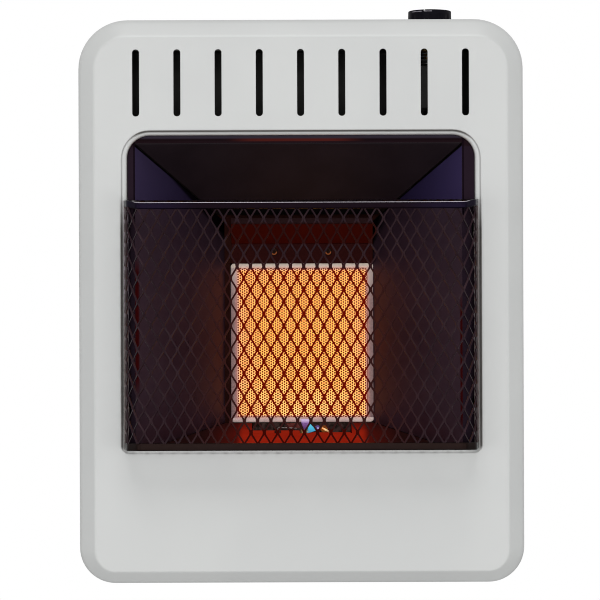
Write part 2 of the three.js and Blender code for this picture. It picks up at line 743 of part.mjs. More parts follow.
function injectorBracket() {
  const shelfTop = injectorTopZ - 15 - clearance;
  const xs = [burnerCentreX - 20, burnerCentreX + 20];
  const shelf = block(xs, [steel + clearance, mixerDepth + 16], [shelfTop - thinSteel * 1.5, shelfTop]);
  const leg = block(xs, [steel + clearance, steel + clearance + thinSteel * 1.5], [shelfTop - 26, shelfTop]);
  const hole = rod(injectorRadius + clearance, -3, 3, [burnerCentreX, mixerDepth, shelfTop], 'up', 12);
  return cut(join(shelf, leg), hole);
}

// Angled plate over the tile: an upright part under two screws, a slope and a turned-up lip.
function topDeflector() {
  const rear = burnerPlateFront + clearance;
  const bendDepth = rear + thinSteel;
  const lipDepthAt = bendDepth + deflectorReach;
  const lipBottom = deflectorLipZ - deflectorLip;
  const profile = [
    [rear, deflectorBendZ - deflectorLength], [bendDepth, deflectorBendZ - deflectorLength],
    [bendDepth, deflectorBendZ - 0.5], [lipDepthAt + thinSteel, lipBottom],
    [lipDepthAt + thinSteel, deflectorLipZ], [lipDepthAt, deflectorLipZ], [lipDepthAt, lipBottom + 0.6],
    [rear, deflectorBendZ + 0.6],
  ];
  const plate = sheet(profile, (depth, z, layer) =>
    [burnerCentreX + (layer ? 1 : -1) * (gasketHalfX - deflectorShort), -depth, z]);
  const holes = burnerScrewXs.map((x) => rod(screwShankRadius + clearance, -3, 3,
    [x, rear, burnerScrewZ], 'room', 12));
  return cut(plate, ...holes);
}

// ---------------------------------------------------------------- pilot
const pilotBurnerX = 2;
const thermocoupleX = 30;
const electrodeX = -24;
const pilotRear = pilotDepth - thinSteel * 1.5;
const pilotFootZ = pilotBracketTop - pilotBracketHeight;
const pilotTubeDepth = pilotDepth + 5.5;

function pilotBracket() {
  const half = pilotBracketWidth / 2;
  const plate = block([-half, half], [pilotRear, pilotDepth], [pilotFootZ, pilotBracketTop]);
  const foot = block([-half, half], [burnerPlateFront + clearance, pilotDepth + 12],
    [pilotFootZ, pilotFootZ + thinSteel * 1.5]);
  const hangRear = burnerPlateFront + clearance;
  const hang = block([-half, half], [hangRear, hangRear + thinSteel * 1.5], [pilotFootZ, gasketBottomZ - 2]);
  const holes = [[pilotBurnerX, 4.5], [thermocoupleX, 3.6], [electrodeX, 4]].map(([x, radius]) =>
    rod(radius + clearance, -4, 4, [x, pilotTubeDepth, pilotFootZ], 'up', 12));
  return cut(join(plate, foot, hang), ...holes);
}

// Upright burner tube with a hood that throws the flame to the right, onto the thermocouple.
function pilotBurner() {
  const at = [pilotBurnerX, pilotTubeDepth, 0];
  const tube = rod(4, pilotFootZ - 12, pilotAxisZ, at, 'up', 12);
  const nut = turned(rodProfile(6.5, pilotFootZ - 12, pilotFootZ - 5), at, 'up', 6);
  const nozzle = rod(2.6, 0, 7, [pilotBurnerX, pilotTubeDepth, pilotAxisZ - 3], 'right', 10);
  return join(tube, nut, nozzle);
}

function thermocouple() {
  const at = [thermocoupleX, pilotTubeDepth, 0];
  const tip = 10;
  const stem = rod(2.4, pilotFootZ - 10, pilotAxisZ, at, 'up', 10);
  const nut = turned(rodProfile(5, pilotFootZ - 10, pilotFootZ - 4), at, 'up', 6);
  const hotEnd = rod(1.6, 0, tip, [thermocoupleX, pilotTubeDepth, pilotAxisZ - 2], 'left', 10);
  return join(stem, nut, hotEnd);
}

function igniterElectrode() {
  const at = [electrodeX, pilotTubeDepth, 0];
  const insulator = rod(3.4, pilotFootZ - 14, pilotAxisZ - 1, at, 'up', 12);
  const collar = rod(5, pilotFootZ - 6, pilotFootZ - clearance, at, 'up', 12);
  const wire = pipe([
    [electrodeX, pilotTubeDepth, pilotAxisZ - 3],
    [electrodeX, pilotTubeDepth, pilotAxisZ + 2],
    [pilotBurnerX - 7, pilotTubeDepth, pilotAxisZ + 1],
  ], 0.8, 2, 6);
  return join(insulator, collar, wire);
}

// ---------------------------------------------------------------- gas valve and knob
const onKnobAxis = [knobX, knobDepth, 0];
const portZ = valveBottomZ - 5;

function valveBody() {
  const halfX = valveWidth / 2;
  const halfD = valveThickness / 2;
  const casting = stack([
    { depth: knobDepth - halfD, inset: 3 }, { depth: knobDepth - halfD + 3, inset: 0 },
    { depth: knobDepth + halfD - 3, inset: 0 }, { depth: knobDepth + halfD, inset: 3 },
  ].map(({ depth, inset }) => ({ depth, outline: roundedOutline({
    x0: knobX - halfX + inset, x1: knobX + halfX - inset, z0: valveBottomZ + inset, z1: valveTopZ - inset * 0.02,
    top: 4, bottom: 7, steps: 3 }) })));
  const neck = rod(neckRadius, valveTopZ - 2, valveTopZ + neckHeight, onKnobAxis, 'up', 20);
  const earTop = cabinetTopZ - steel - clearance;
  const ears = valveEarXs.map((x) =>
    rod(valveEarRadius, valveTopZ - 14, earTop, [x, knobDepth, 0], 'up', 12));
  const bridge = block(valveEarXs, [knobDepth - valveEarRadius, knobDepth + valveEarRadius],
    [valveTopZ - 14, valveTopZ - 6]);
  const earHoles = valveEarXs.map((x) =>
    rod(screwShankRadius + clearance, earTop - screwLength - 2, earTop + 1, [x, knobDepth, 0], 'up', 12));
  const bore = rod(plungerRadius + clearance, valveTopZ - 14, valveTopZ + neckHeight + 1,
    onKnobAxis, 'up', 20);
  const ports = valvePorts.map(({ x, depth, radius }) =>
    turned(rodProfile(radius + 2.6, portZ, valveBottomZ + 2), [x, depth, 0], 'up', 6));
  return cut(join(casting, neck, bridge, ...ears, ...ports), bore, ...earHoles);
}

const valvePorts = [
  { name: 'inlet', x: knobX + 11, depth: knobDepth - 9, radius: gasPipeRadius },
  { name: 'burner', x: knobX - 11, depth: knobDepth - 9, radius: gasPipeRadius },
  { name: 'pilot', x: knobX - 11, depth: knobDepth + 9, radius: pilotPipeRadius },
  { name: 'thermocouple', x: knobX, depth: knobDepth + 10, radius: leadRadius },
  { name: 'igniter', x: knobX + 11, depth: knobDepth + 9, radius: leadRadius },
];
const port = (name) => valvePorts.find((p) => p.name === name);

function valvePlunger() {
  const flangeTop = flangeUnderZ + plungerFlange;
  const sleeve = rod(plungerRadius, valveTopZ - 8, flangeTop, onKnobAxis, 'up', 20);
  const flange = rod(plungerFlangeRadius, flangeUnderZ, flangeTop, onKnobAxis, 'up', 20);
  const bore = rod(stemRadius + clearance, valveTopZ - 9, flangeTop + 1, onKnobAxis, 'up', 14);
  return cut(join(sleeve, flange), bore);
}

const stemTopZ = knobBottomZ + knobHeight * 0.68;

function valveStem() {
  const collarBottom = flangeUnderZ + plungerFlange + clearance;
  const shaft = rod(stemRadius, valveTopZ - 6, stemTopZ, onKnobAxis, 'up', 14);
  const collar = rod(5, collarBottom, collarBottom + 2, onKnobAxis, 'up', 14);
  const flat = block([knobX - 6, knobX + 6], [knobDepth + stemFlat, knobDepth + 8],
    [cabinetTopZ + 2, stemTopZ + 1]);
  return cut(join(shaft, collar), flat);
}

function controlKnob() {
  const hub = 6.5;
  const bevel = 2.6;
  const body = turned([
    [hub, knobBottomZ], [hub, knobTopZ - 4.5], [knobRadius - knobWall - 1, knobTopZ - 4.5],
    [knobRadius - knobWall, knobBottomZ], [knobRadius, knobBottomZ], [knobRadius - 0.5, knobTopZ - bevel],
    [knobRadius - bevel, knobTopZ - 0.5], [knobRadius - bevel - 1.5, knobTopZ], [0, knobTopZ],
    [0, knobBottomZ], [hub, knobBottomZ],
  ], onKnobAxis, 'up', 28);
  const bore = cut(
    rod(stemRadius + clearance, knobBottomZ - 1, stemTopZ + clearance, onKnobAxis, 'up', 14),
    block([knobX - 6, knobX + 6], [knobDepth + stemFlat + clearance, knobDepth + 8],
      [knobBottomZ - 2, stemTopZ + 1]));
  const flutes = Array.from({ length: knobFlutes }, (_, i) => {
    const angle = (2 * Math.PI * (i + 0.5)) / knobFlutes;
    const reach = knobRadius + 2.2;
    return rod(3, knobBottomZ + 3, knobTopZ - bevel - 3,
      [knobX + reach * Math.cos(angle), knobDepth + reach * Math.sin(angle), 0], 'up', 8);
  });
  const pointer = new THREE.BoxGeometry(1.8, knobRadius, 3.4);
  pointer.translate(0, -knobRadius * 0.72, 0);
  pointer.rotateZ(THREE.MathUtils.degToRad(-pointerAngle));
  pointer.translate(knobX, -knobDepth, knobTopZ);
  return cut(body, bore, ...flutes, solid(pointer));
}

// Return spring: an open coil between the valve and the flange of the plunger.
function returnSpring() {
  const bottom = valveTopZ + clearance + springWire / 2 + 0.1;
  const top = flangeUnderZ - clearance - springWire / 2 - 0.1;
  const coilRadius = neckRadius + clearance + springWire / 2 + 0.5;
  const stepsPerTurn = 8;
  const sides = 5;
  const steps = springTurns * stepsPerTurn;
  const points = [];
  const index = [];
  for (let i = 0; i <= steps; i += 1) {
    const angle = (2 * Math.PI * i) / stepsPerTurn;
    const centreZ = between(bottom, top, i / steps);
    for (let k = 0; k < sides; k += 1) {
      const around = (2 * Math.PI * k) / sides;
      const radius = coilRadius + (springWire / 2) * Math.cos(around);
      points.push(knobX + radius * Math.cos(angle), -knobDepth + radius * Math.sin(angle),
        centreZ + (springWire / 2) * Math.sin(around));
    }
  }
  for (let i = 0; i < steps; i += 1) {
    for (let k = 0; k < sides; k += 1) {
      const a = i * sides + k;
      const b = i * sides + ((k + 1) % sides);
      index.push(a, a + sides, b + sides, a, b + sides, b);
    }
  }
  for (let k = 1; k < sides - 1; k += 1) {
    index.push(0, k, k + 1);
    index.push(steps * sides, steps * sides + k + 1, steps * sides + k);
  }
  const gap = (top - bottom) / springTurns - springWire;
  console.log(`return spring: least gap between turns ${gap.toFixed(2)} mm`);
  return faceted(points, index);
}

// ---------------------------------------------------------------- gas train
const regulatorTopZ = regulatorZ + regulatorHeight / 2;
const regulatorBottomZ = regulatorZ - regulatorHeight / 2;
const inletTopZ = regulatorBottomZ - 8;
const inletEndZ = -cabinetTopZ - inletDrop;

function pressureRegulator() {
  const at = [regulatorX, regulatorDepth, 0];
  const body = turned([
    [0, regulatorBottomZ], [regulatorRadius - 3, regulatorBottomZ], [regulatorRadius, regulatorBottomZ + 3],
    [regulatorRadius, regulatorZ - 1], [regulatorRadius + 2.5, regulatorZ - 1],
    [regulatorRadius + 2.5, regulatorZ + 2], [regulatorRadius - 3, regulatorZ + 2],
    [regulatorRadius - 9, regulatorTopZ], [0, regulatorTopZ],
  ], at, 'up', 24);
  const outlet = turned(rodProfile(8, regulatorTopZ - 2, regulatorTopZ + 6), at, 'up', 6);
  const inlet = turned(rodProfile(9.5, inletTopZ + clearance, regulatorBottomZ + 1), at, 'up', 6);
  return join(body, outlet, inlet);
}

// Flare fitting: hexagon above the base, threaded nose below it, bored from the end.
function inletFitting() {
  const at = [regulatorX, regulatorDepth, 0];
  const hexagon = turned(rodProfile(11, inletTopZ - 9, inletTopZ), at, 'up', 6);
  const nose = rod(inletRadius, inletEndZ, inletTopZ - 5, at, 'up', 16);
  const bore = rod(inletBore, inletEndZ - 1, inletEndZ + 14, at, 'up', 16);
  return cut(join(hexagon, nose), bore);
}

// A pipe with a union nut at each end.
function gasPipe(corners, radius, bend = pipeBend) {
  const [first, last] = [corners[0], corners.at(-1)];
  const nutAt = (corner, from, to) =>
    turned(rodProfile(radius + 2.4, from, to), [corner[0], corner[1], corner[2]], 'up', 6);
  const startUp = corners[1][2] > first[2] ? 1 : -1;
  const endUp = corners.at(-2)[2] > last[2] ? 1 : -1;
  const ends = [
    nutAt(first, Math.min(0, startUp * 7), Math.max(0, startUp * 7)),
    nutAt(last, Math.min(0, endUp * 7), Math.max(0, endUp * 7)),
  ];
  return join(pipe(corners, radius, bend), ...ends);
}

const valveEndZ = portZ - clearance;

function gasSupplyPipe() {
  const inlet = port('inlet');
  const turnZ = regulatorTopZ + 40;
  return gasPipe([
    [regulatorX, regulatorDepth, regulatorTopZ + 6 + clearance],
    [regulatorX, regulatorDepth, turnZ],
    [inlet.x + 6, regulatorDepth - 8, turnZ + 40],
    [inlet.x + 6, regulatorDepth - 8, valveEndZ - 60],
    [inlet.x, inlet.depth, valveEndZ - 22],
    [inlet.x, inlet.depth, valveEndZ],
  ], gasPipeRadius);
}

const burnerPipeDepth = 40; // depth of the long upright run
const pilotPipeDepth = 54;
const lowRunZ = injectorTopZ - injectorLength - 16;

function burnerGasPipe() {
  const outlet = port('burner');
  return gasPipe([
    [outlet.x, outlet.depth, valveEndZ],
    [outlet.x, outlet.depth, valveEndZ - 22],
    [outlet.x - 6, burnerPipeDepth, valveEndZ - 62],
    [outlet.x - 6, burnerPipeDepth, lowRunZ + 16],
    [outlet.x - 24, mixerDepth, lowRunZ],
    [burnerCentreX, mixerDepth, lowRunZ],
    [burnerCentreX, mixerDepth, injectorTopZ - injectorLength - clearance],
  ], gasPipeRadius, 9);
}

const pilotRunZ = pilotFootZ - 34;

function pilotGasPipe() {
  const outlet = port('pilot');
  return gasPipe([
    [outlet.x, outlet.depth, valveEndZ],
    [outlet.x, outlet.depth, valveEndZ - 16],
    [outlet.x - 8, pilotPipeDepth, valveEndZ - 58],
    [outlet.x - 8, pilotPipeDepth, pilotRunZ + 20],
    [outlet.x - 24, pilotTubeDepth, pilotRunZ],
    [pilotBurnerX, pilotTubeDepth, pilotRunZ],
    [pilotBurnerX, pilotTubeDepth, pilotFootZ - 12 - clearance],
  ], pilotPipeRadius, 9);
}

function lead(name, endX, endZ, column, run) {
  const start = port(name);
  return pipe([
    [start.x, start.depth, valveEndZ],
    [start.x, start.depth, valveEndZ - 16],
    [column.x, column.depth, valveEndZ - 56],
    [column.x, column.depth, run + 18],
    [column.x - 16, pilotTubeDepth, run],
    [endX, pilotTubeDepth, run],
    [endX, pilotTubeDepth, endZ],
  ], leadRadius, 7, 6);
}

const thermocoupleColumn = { x: knobX - 8, depth: 62 };
const igniterColumn = { x: knobX + 2, depth: 60 };
const thermocoupleLead = () => lead('thermocouple', thermocoupleX, pilotFootZ - 10 - clearance,
  thermocoupleColumn, pilotFootZ - 24);
const igniterLead = () => lead('igniter', electrodeX, pilotFootZ - 14 - clearance,
  igniterColumn, pilotFootZ - 46);

// ---------------------------------------------------------------- guard
const guardFold = guardFront - guardFoldDepth;
const guardShare = (depth) => (depth < guardFold
  ? between(0, 1 - guardFoldShare, (depth - guardBack) / (guardFold - guardBack))
  : between(1 - guardFoldShare, 1, (depth - guardFold) / guardFoldDepth));
const guardHalf = (depth) => between(guardBackWidth, guardFrontWidth, guardShare(depth)) / 2;
const guardTopAt = (depth) => between(guardBackTop, guardFrontTop, guardShare(depth));
const guardBottomAt = (depth) => between(guardBackBottom, guardFrontBottom, guardShare(depth));
const railFront = guardBack + meshThickness;
const frontRear = guardFront - meshThickness;

// Keeps the part of a convex polygon that lies inside a convex, counter-clockwise outline.
function clipToOutline(points, outline) {
  return outline.reduce((kept, [ax, ay], i) => {
    const [bx, by] = outline[(i + 1) % outline.length];
    const inside = ([x, y]) => (bx - ax) * (y - ay) - (by - ay) * (x - ax);
    return kept.flatMap((point, k) => {
      const previous = kept[(k + kept.length - 1) % kept.length];
      const here = inside(point);
      const before = inside(previous);
      const share = before / (before - here);
      const crossing = [between(previous[0], point[0], share), between(previous[1], point[1], share)];
      if (here >= 0) return before >= 0 ? [point] : [crossing, point];
      return before >= 0 ? [crossing] : [];
    });
  }, points);
}

const withoutRepeats = (points) => points.filter(([x, y], i) => {
  const [lastX, lastY] = points[(i + points.length - 1) % points.length];
  return Math.hypot(x - lastX, y - lastY) > 0.05;
});

const area = (points) => Math.abs(points.reduce((sum, [x, y], i) => {
  const [nextX, nextY] = points[(i + 1) % points.length];
  return sum + x * nextY - nextX * y;
}, 0)) / 2;

// Draws an outline inwards by its own distance on every side.
function drawnIn(outline, distances) {
  const count = outline.length;
  const side = outline.map(([ax, ay], i) => {
    const [bx, by] = outline[(i + 1) % count];
    const length = Math.hypot(bx - ax, by - ay);
    const distance = distances[i];
    return { ax: ax - ((by - ay) / length) * distance, ay: ay + ((bx - ax) / length) * distance,
      dx: (bx - ax) / length, dy: (by - ay) / length };
  });
  return side.map((line, i) => {
    const before = side[(i + count - 1) % count];
    const cross = before.dx * line.dy - before.dy * line.dx;
    const t = ((line.ax - before.ax) * line.dy - (line.ay - before.ay) * line.dx) / cross;
    return [before.ax + before.dx * t, before.ay + before.dy * t];
  });
}

// Expanded metal: a flat sheet with staggered diamond openings, drawn in (u, w) and placed in space.
let diamondCount = 0;

// Half the pitch, less the strand, gives the half diagonals of an opening. The net passes through `middle`.
function diamonds(window, middle, place) {
  const us = window.map(([u]) => Math.abs(u - middle[0]));
  const ws = window.map(([, w]) => Math.abs(w - middle[1]));
  const slant = Math.hypot(meshPitchX / 2, meshPitchZ / 2) / ((meshPitchX * meshPitchZ) / 4);
  const shrink = 1 - (meshStrand / 2) * slant;
  const halfU = (meshPitchX / 2) * shrink;
  const halfW = (meshPitchZ / 2) * shrink;
  const reachU = Math.ceil(Math.max(...us) / (meshPitchX / 2)) + 1;
  const reachW = Math.ceil(Math.max(...ws) / (meshPitchZ / 2)) + 1;
  const holes = [];
  for (let i = -reachU; i <= reachU; i += 1) {
    for (let k = -reachW; k <= reachW; k += 1) {
      if ((i + k) % 2 !== 0) continue;
      const u = middle[0] + (i * meshPitchX) / 2;
      const w = middle[1] + (k * meshPitchZ) / 2;
      const diamond = [[u + halfU, w], [u, w + halfW], [u - halfU, w], [u, w - halfW]];
      const hole = withoutRepeats(clipToOutline(diamond, window));
      if (hole.length < 3 || area(hole) < halfU * halfW * 0.3) continue;
      holes.push(sheet(hole, (a, b, side) => place(a, b, side ? 2 * meshThickness : -meshThickness)));
    }
  }
  diamondCount += holes.length;
  return holes;
}

// A wall of the tray in two flat parts that meet at the fold, with one net carried over both.
const foldLap = 0.05;

function foldedNet(parts, middle) {
  const bodies = parts.map(({ outline, foldSide, place }) => sheet(
    drawnIn(outline, outline.map((_, i) => (i === foldSide ? -foldLap : 0))),
    (u, w, layer) => place(u, w, layer * meshThickness)));
  const holes = parts.flatMap(({ outline, foldSide, place }) => diamonds(
    drawnIn(outline, outline.map((_, i) => (i === foldSide ? -2 * foldLap : meshBorder))), middle, place));
  return cut(join(...bodies), ...holes);
}

const foldParts = (edgeAt) => [[railFront + clearance, guardFold], [guardFold, frontRear - clearance]].map(
  ([from, to]) => ({ from, to, lean: Math.hypot(to - from, edgeAt(to) - edgeAt(from)) / (to - from) }));

const stripTopAt = (depth) => guardTopAt(depth) - guardTopStrip;
const stripBottomAt = (depth) => guardBottomAt(depth) + guardBottomStrip;

function guardFrontMesh() {
  const half = guardFrontWidth / 2;
  const z0 = guardFrontBottom + guardBottomStrip + clearance;
  const z1 = guardFrontTop - guardTopStrip - clearance;
  const outline = [[-half, z0], [half, z0], [half, z1], [-half, z1]];
  const place = (u, w, layer) => [u, -(guardFront - layer), w];
  const holes = diamonds(drawnIn(outline, outline.map(() => meshBorder)), [0, (z0 + z1) / 2], place);
  return cut(sheet(outline, (u, w, layer) => place(u, w, layer * meshThickness)), ...holes);
}

// A side wall of the tray leans in a little, and more at the fold. It is laid out along its slope.
function guardSideMesh(side) {
  const parts = foldParts(guardHalf).map(({ from, to, lean }, i) => {
    const u = (depth) => (depth - guardFold) * lean;
    const outline = [
      [u(from), stripBottomAt(from) + clearance], [u(to), stripBottomAt(to) + clearance],
      [u(to), stripTopAt(to) - clearance], [u(from), stripTopAt(from) - clearance],
    ];
    const place = (along, z, layer) => {
      const depth = guardFold + along / lean;
      const half = between(guardHalf(from), guardHalf(to), (depth - from) / (to - from));
      return side > 0 ? [half - meshThickness + layer, -depth, z] : [-half + layer, -depth, z];
    };
    return { outline, foldSide: i ? 3 : 1, place };
  });
  return foldedNet(parts, [0, (stripTopAt(guardBack) + stripBottomAt(guardBack)) / 2]);
}

// The top and the bottom of the tray lie between the strips, just inside their edges.
function guardFlatMesh(edgeAt, side) {
  const inside = meshThickness * 1.1 + clearance;
  const parts = foldParts(edgeAt).map(({ from, to, lean }, i) => {
    const w = (depth) => -(depth - guardFold) * lean;
    const outline = [
      [-guardHalf(to) + inside, w(to)], [guardHalf(to) - inside, w(to)],
      [guardHalf(from) - inside, w(from)], [-guardHalf(from) + inside, w(from)],
    ];
    const place = (x, along, layer) => {
      const depth = guardFold - along / lean;
      const z = between(edgeAt(from), edgeAt(to), (depth - from) / (to - from));
      return [x, -depth, z - (side > 0 ? meshThickness : 0) + layer];
    };
    return { outline, foldSide: i ? 2 : 0, place };
  });
  return foldedNet(parts, [0, 0]);
}

// A strip round the front of the tray with an arm along each side wall, bent at the fold.
function guardStrip(z0At, z1At) {
  const front = block([-guardFrontWidth / 2, guardFrontWidth / 2], [frontRear, guardFront],
    [z0At(guardFront), z1At(guardFront)]);
  const spans = [[railFront + clearance, guardFold], [guardFold, guardFront - meshThickness / 2]];
  const arms = [-1, 1].flatMap((side) => spans.map(([from, to]) => sheet(
    [[from, z0At(from)], [to, z0At(to)], [to, z1At(to)], [from, z1At(from)]],
    (depth, z, layer) => [side * (guardHalf(depth) - layer * meshThickness), -depth, z])));
  return join(front, ...arms);
}

const guardTopRail = () => guardStrip(stripTopAt, guardTopAt);
const guardBottomRail = () => guardStrip(guardBottomAt, stripBottomAt);

// The upright strip at the back of the tray, with two hooks that drop into the firebox frame.
function guardSideRail(side) {
  const outer = guardBackWidth / 2;
  const span = (a, b) => [Math.min(side * a, side * b), Math.max(side * a, side * b)];
  const strip = block(span(outer - guardRailWidth, outer), [guardBack, railFront],
    [guardBackBottom, guardBackTop]);
  const fingerFront = flangeRear - clearance;
  const fingerRear = fingerFront - 3;
  const hooks = guardHookZ.map((z) => {
    const leg = block(span(guardHookX, guardHookX + thinSteel), [fingerRear, railFront], [z, z + hookHeight]);
    const finger = block(span(guardHookX, guardHookX + thinSteel), [fingerRear, fingerFront],
      [z - hookFinger, z + hookHeight]);
    return join(leg, finger);
  });
  return join(strip, ...hooks);
}

// ---------------------------------------------------------------- assembly
add('front_panel', frontPanel(), materials.panelPaint);
add('cabinet_back', cabinetBack(), materials.cabinetPaint);
add('cabinet_left_side', cabinetSide(-1), materials.cabinetPaint);
add('cabinet_right_side', cabinetSide(1), materials.cabinetPaint);
add('cabinet_top', cabinetTop(), materials.cabinetPaint);
add('cabinet_base', cabinetBase(), materials.cabinetPaint);
add('wall_bracket', wallBracket(), materials.galvanised);

add('firebox_frame', fireboxFrame(), materials.reflector);
add('hood_reflector', hoodReflector(), materials.reflector);
add('left_reflector', sideReflector(-1), materials.reflector);
add('right_reflector', sideReflector(1), materials.reflector);
add('floor_reflector', floorReflector(), materials.reflector);

add('burner_plate', burnerPlate(), materials.burnerSteel);
add('burner_box', burnerBox(), materials.burnerSteel);
add('burner_gasket', burnerGasket(), materials.fibre);
add('ceramic_tile', block(burnerX(tileWidth / 2), [tileRear, burnerPlateFront], burnerZ(tileHeight / 2)),
  materials.ceramic);
add('top_deflector', topDeflector(), materials.burnerSteel);
add('mixing_tube', mixingTube(), materials.burnerSteel);
add('gas_injector', injector(), materials.brass);
add('injector_bracket', injectorBracket(), materials.galvanised);

add('pilot_bracket', pilotBracket(), materials.burnerSteel);
add('pilot_burner', pilotBurner(), materials.brass);
add('thermocouple', thermocouple(), materials.copper);
add('igniter_electrode', igniterElectrode(), materials.whiteCeramic);

add('gas_valve_body', valveBody(), materials.aluminium);
add('valve_plunger', valvePlunger(), materials.brass);
add('return_spring', returnSpring(), materials.zinc);
add('valve_stem', valveStem(), materials.zinc);
add('control_knob', controlKnob(), materials.black);

add('pressure_regulator', pressureRegulator(), materials.aluminium);
add('gas_inlet_fitting', inletFitting(), materials.brass);
add('gas_supply_pipe', gasSupplyPipe(), materials.aluminium);
add('burner_gas_pipe', burnerGasPipe(), materials.aluminium);
add('pilot_gas_pipe', pilotGasPipe(), materials.aluminium);
add('thermocouple_lead', thermocoupleLead(), materials.copper);
add('igniter_lead', igniterLead(), materials.black);

add('guard_front_mesh', guardFrontMesh(), materials.guard);
add('guard_left_mesh', guardSideMesh(-1), materials.guard);
add('guard_right_mesh', guardSideMesh(1), materials.guard);
add('guard_top_mesh', guardFlatMesh(guardTopAt, 1), materials.guard);
add('guard_bottom_mesh', guardFlatMesh(guardBottomAt, -1), materials.guard);
add('guard_top_rail', guardTopRail(), materials.guard);
add('guard_bottom_rail', guardBottomRail(), materials.guard);
add('guard_left_rail', guardSideRail(-1), materials.guard);
add('guard_right_rail', guardSideRail(1), materials.guard);

panelTabs.forEach(({ side, z }) => add(
  `panel_screw_${side < 0 ? 'left' : 'right'}_${z < 0 ? 'lower' : 'upper'}`,
  screw([side * (cabinetHalf + 2 * clearance + steel), panRearDepth - tabDepth / 2, z],
    side < 0 ? 'left' : 'right'),
  materials.zinc));
burnerScrewXs.forEach((x, i) => add(`burner_screw_${i ? 'right' : 'left'}`,
  screw([x, burnerPlateFront + 2 * clearance + thinSteel, burnerScrewZ], 'room', 4), materials.zinc));
valveEarXs.forEach((x, i) => add(`valve_screw_${i ? 'right' : 'left'}`,
  screw([x, knobDepth, cabinetTopZ + clearance], 'up'), materials.zinc));

console.log(`guard: ${diamondCount} diamonds`);

export default model;
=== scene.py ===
# %% [markdown]
# # Wall mounted gas heater
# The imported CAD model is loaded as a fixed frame, and this lesson dresses it: a pressed and painted
# front panel, a firebox of sheet reflectors, a glowing perforated tile, a pilot with its flame, a guard
# of expanded metal and a fluted knob. Lengths in the cells are millimetres, and one helper turns them
# into metres. Depth is the distance from the wall, so a point's y is minus its depth.

# %% Load the frame
import math
import bpy
import numpy as np
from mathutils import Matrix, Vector
from mathutils.geometry import tessellate_polygon


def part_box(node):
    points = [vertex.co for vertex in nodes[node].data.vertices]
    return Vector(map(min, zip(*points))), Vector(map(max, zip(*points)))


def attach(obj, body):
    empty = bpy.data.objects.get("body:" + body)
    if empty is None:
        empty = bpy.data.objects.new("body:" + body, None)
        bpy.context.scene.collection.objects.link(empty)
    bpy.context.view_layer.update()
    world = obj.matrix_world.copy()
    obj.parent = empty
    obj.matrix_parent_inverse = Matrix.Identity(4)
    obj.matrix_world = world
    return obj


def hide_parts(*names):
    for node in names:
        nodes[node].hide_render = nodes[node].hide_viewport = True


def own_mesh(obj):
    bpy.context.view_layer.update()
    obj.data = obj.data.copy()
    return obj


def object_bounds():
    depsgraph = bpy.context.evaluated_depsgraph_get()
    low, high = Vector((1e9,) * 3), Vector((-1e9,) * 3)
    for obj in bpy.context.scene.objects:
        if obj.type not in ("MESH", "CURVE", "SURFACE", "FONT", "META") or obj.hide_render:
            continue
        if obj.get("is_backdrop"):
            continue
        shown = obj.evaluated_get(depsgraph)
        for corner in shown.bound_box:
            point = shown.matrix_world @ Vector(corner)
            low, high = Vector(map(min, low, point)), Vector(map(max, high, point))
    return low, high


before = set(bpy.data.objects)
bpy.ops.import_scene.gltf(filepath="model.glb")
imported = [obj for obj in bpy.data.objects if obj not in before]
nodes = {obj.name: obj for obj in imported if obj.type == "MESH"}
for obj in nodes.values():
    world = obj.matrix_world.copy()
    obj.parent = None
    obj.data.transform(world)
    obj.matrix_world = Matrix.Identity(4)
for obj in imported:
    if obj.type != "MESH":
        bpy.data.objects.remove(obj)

cad_low, cad_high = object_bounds()
print("nodes", len(nodes), "box", [round(v, 4) for v in (*cad_low, *cad_high)])

# %% [markdown]
# ## Camera, light and floor
# The photograph was taken from straight ahead with a long lens: the guard is 43 mm in front of the
# panel and looks only 1.8 % larger, which puts the camera about 2.4 m away. The picture leans by a
# fifth of a degree, so the camera is rolled by as much.

# %% Camera
LENS, SENSOR, PIXELS, PANEL_AWAY = 150, 36, 600, 2425
camera_data = bpy.data.cameras.new("camera")
camera_data.lens = LENS
camera_data.sensor_width = SENSOR
camera_data.clip_start = 0.05
camera_data.clip_end = 50
camera = bpy.data.objects.new("camera", camera_data)
camera.location = (-0.00126, -2.590, 0.00097)
camera.rotation_euler = (math.pi / 2, math.radians(0.2), 0)
scene = bpy.context.scene
scene.collection.objects.link(camera)
scene.camera = camera
scene.view_settings.view_transform = "Standard"
scene.cycles.filter_width = 1.0
print("millimetres a pixel at the panel", round(PANEL_AWAY * SENSOR / LENS / PIXELS, 3))

# %% [markdown]
# ## Shader arithmetic
# A pattern is easier to read as a sum than as a web of boxes. `Signal` wraps a socket that carries a
# number and gives it Python's operators, each of which adds one Math node.


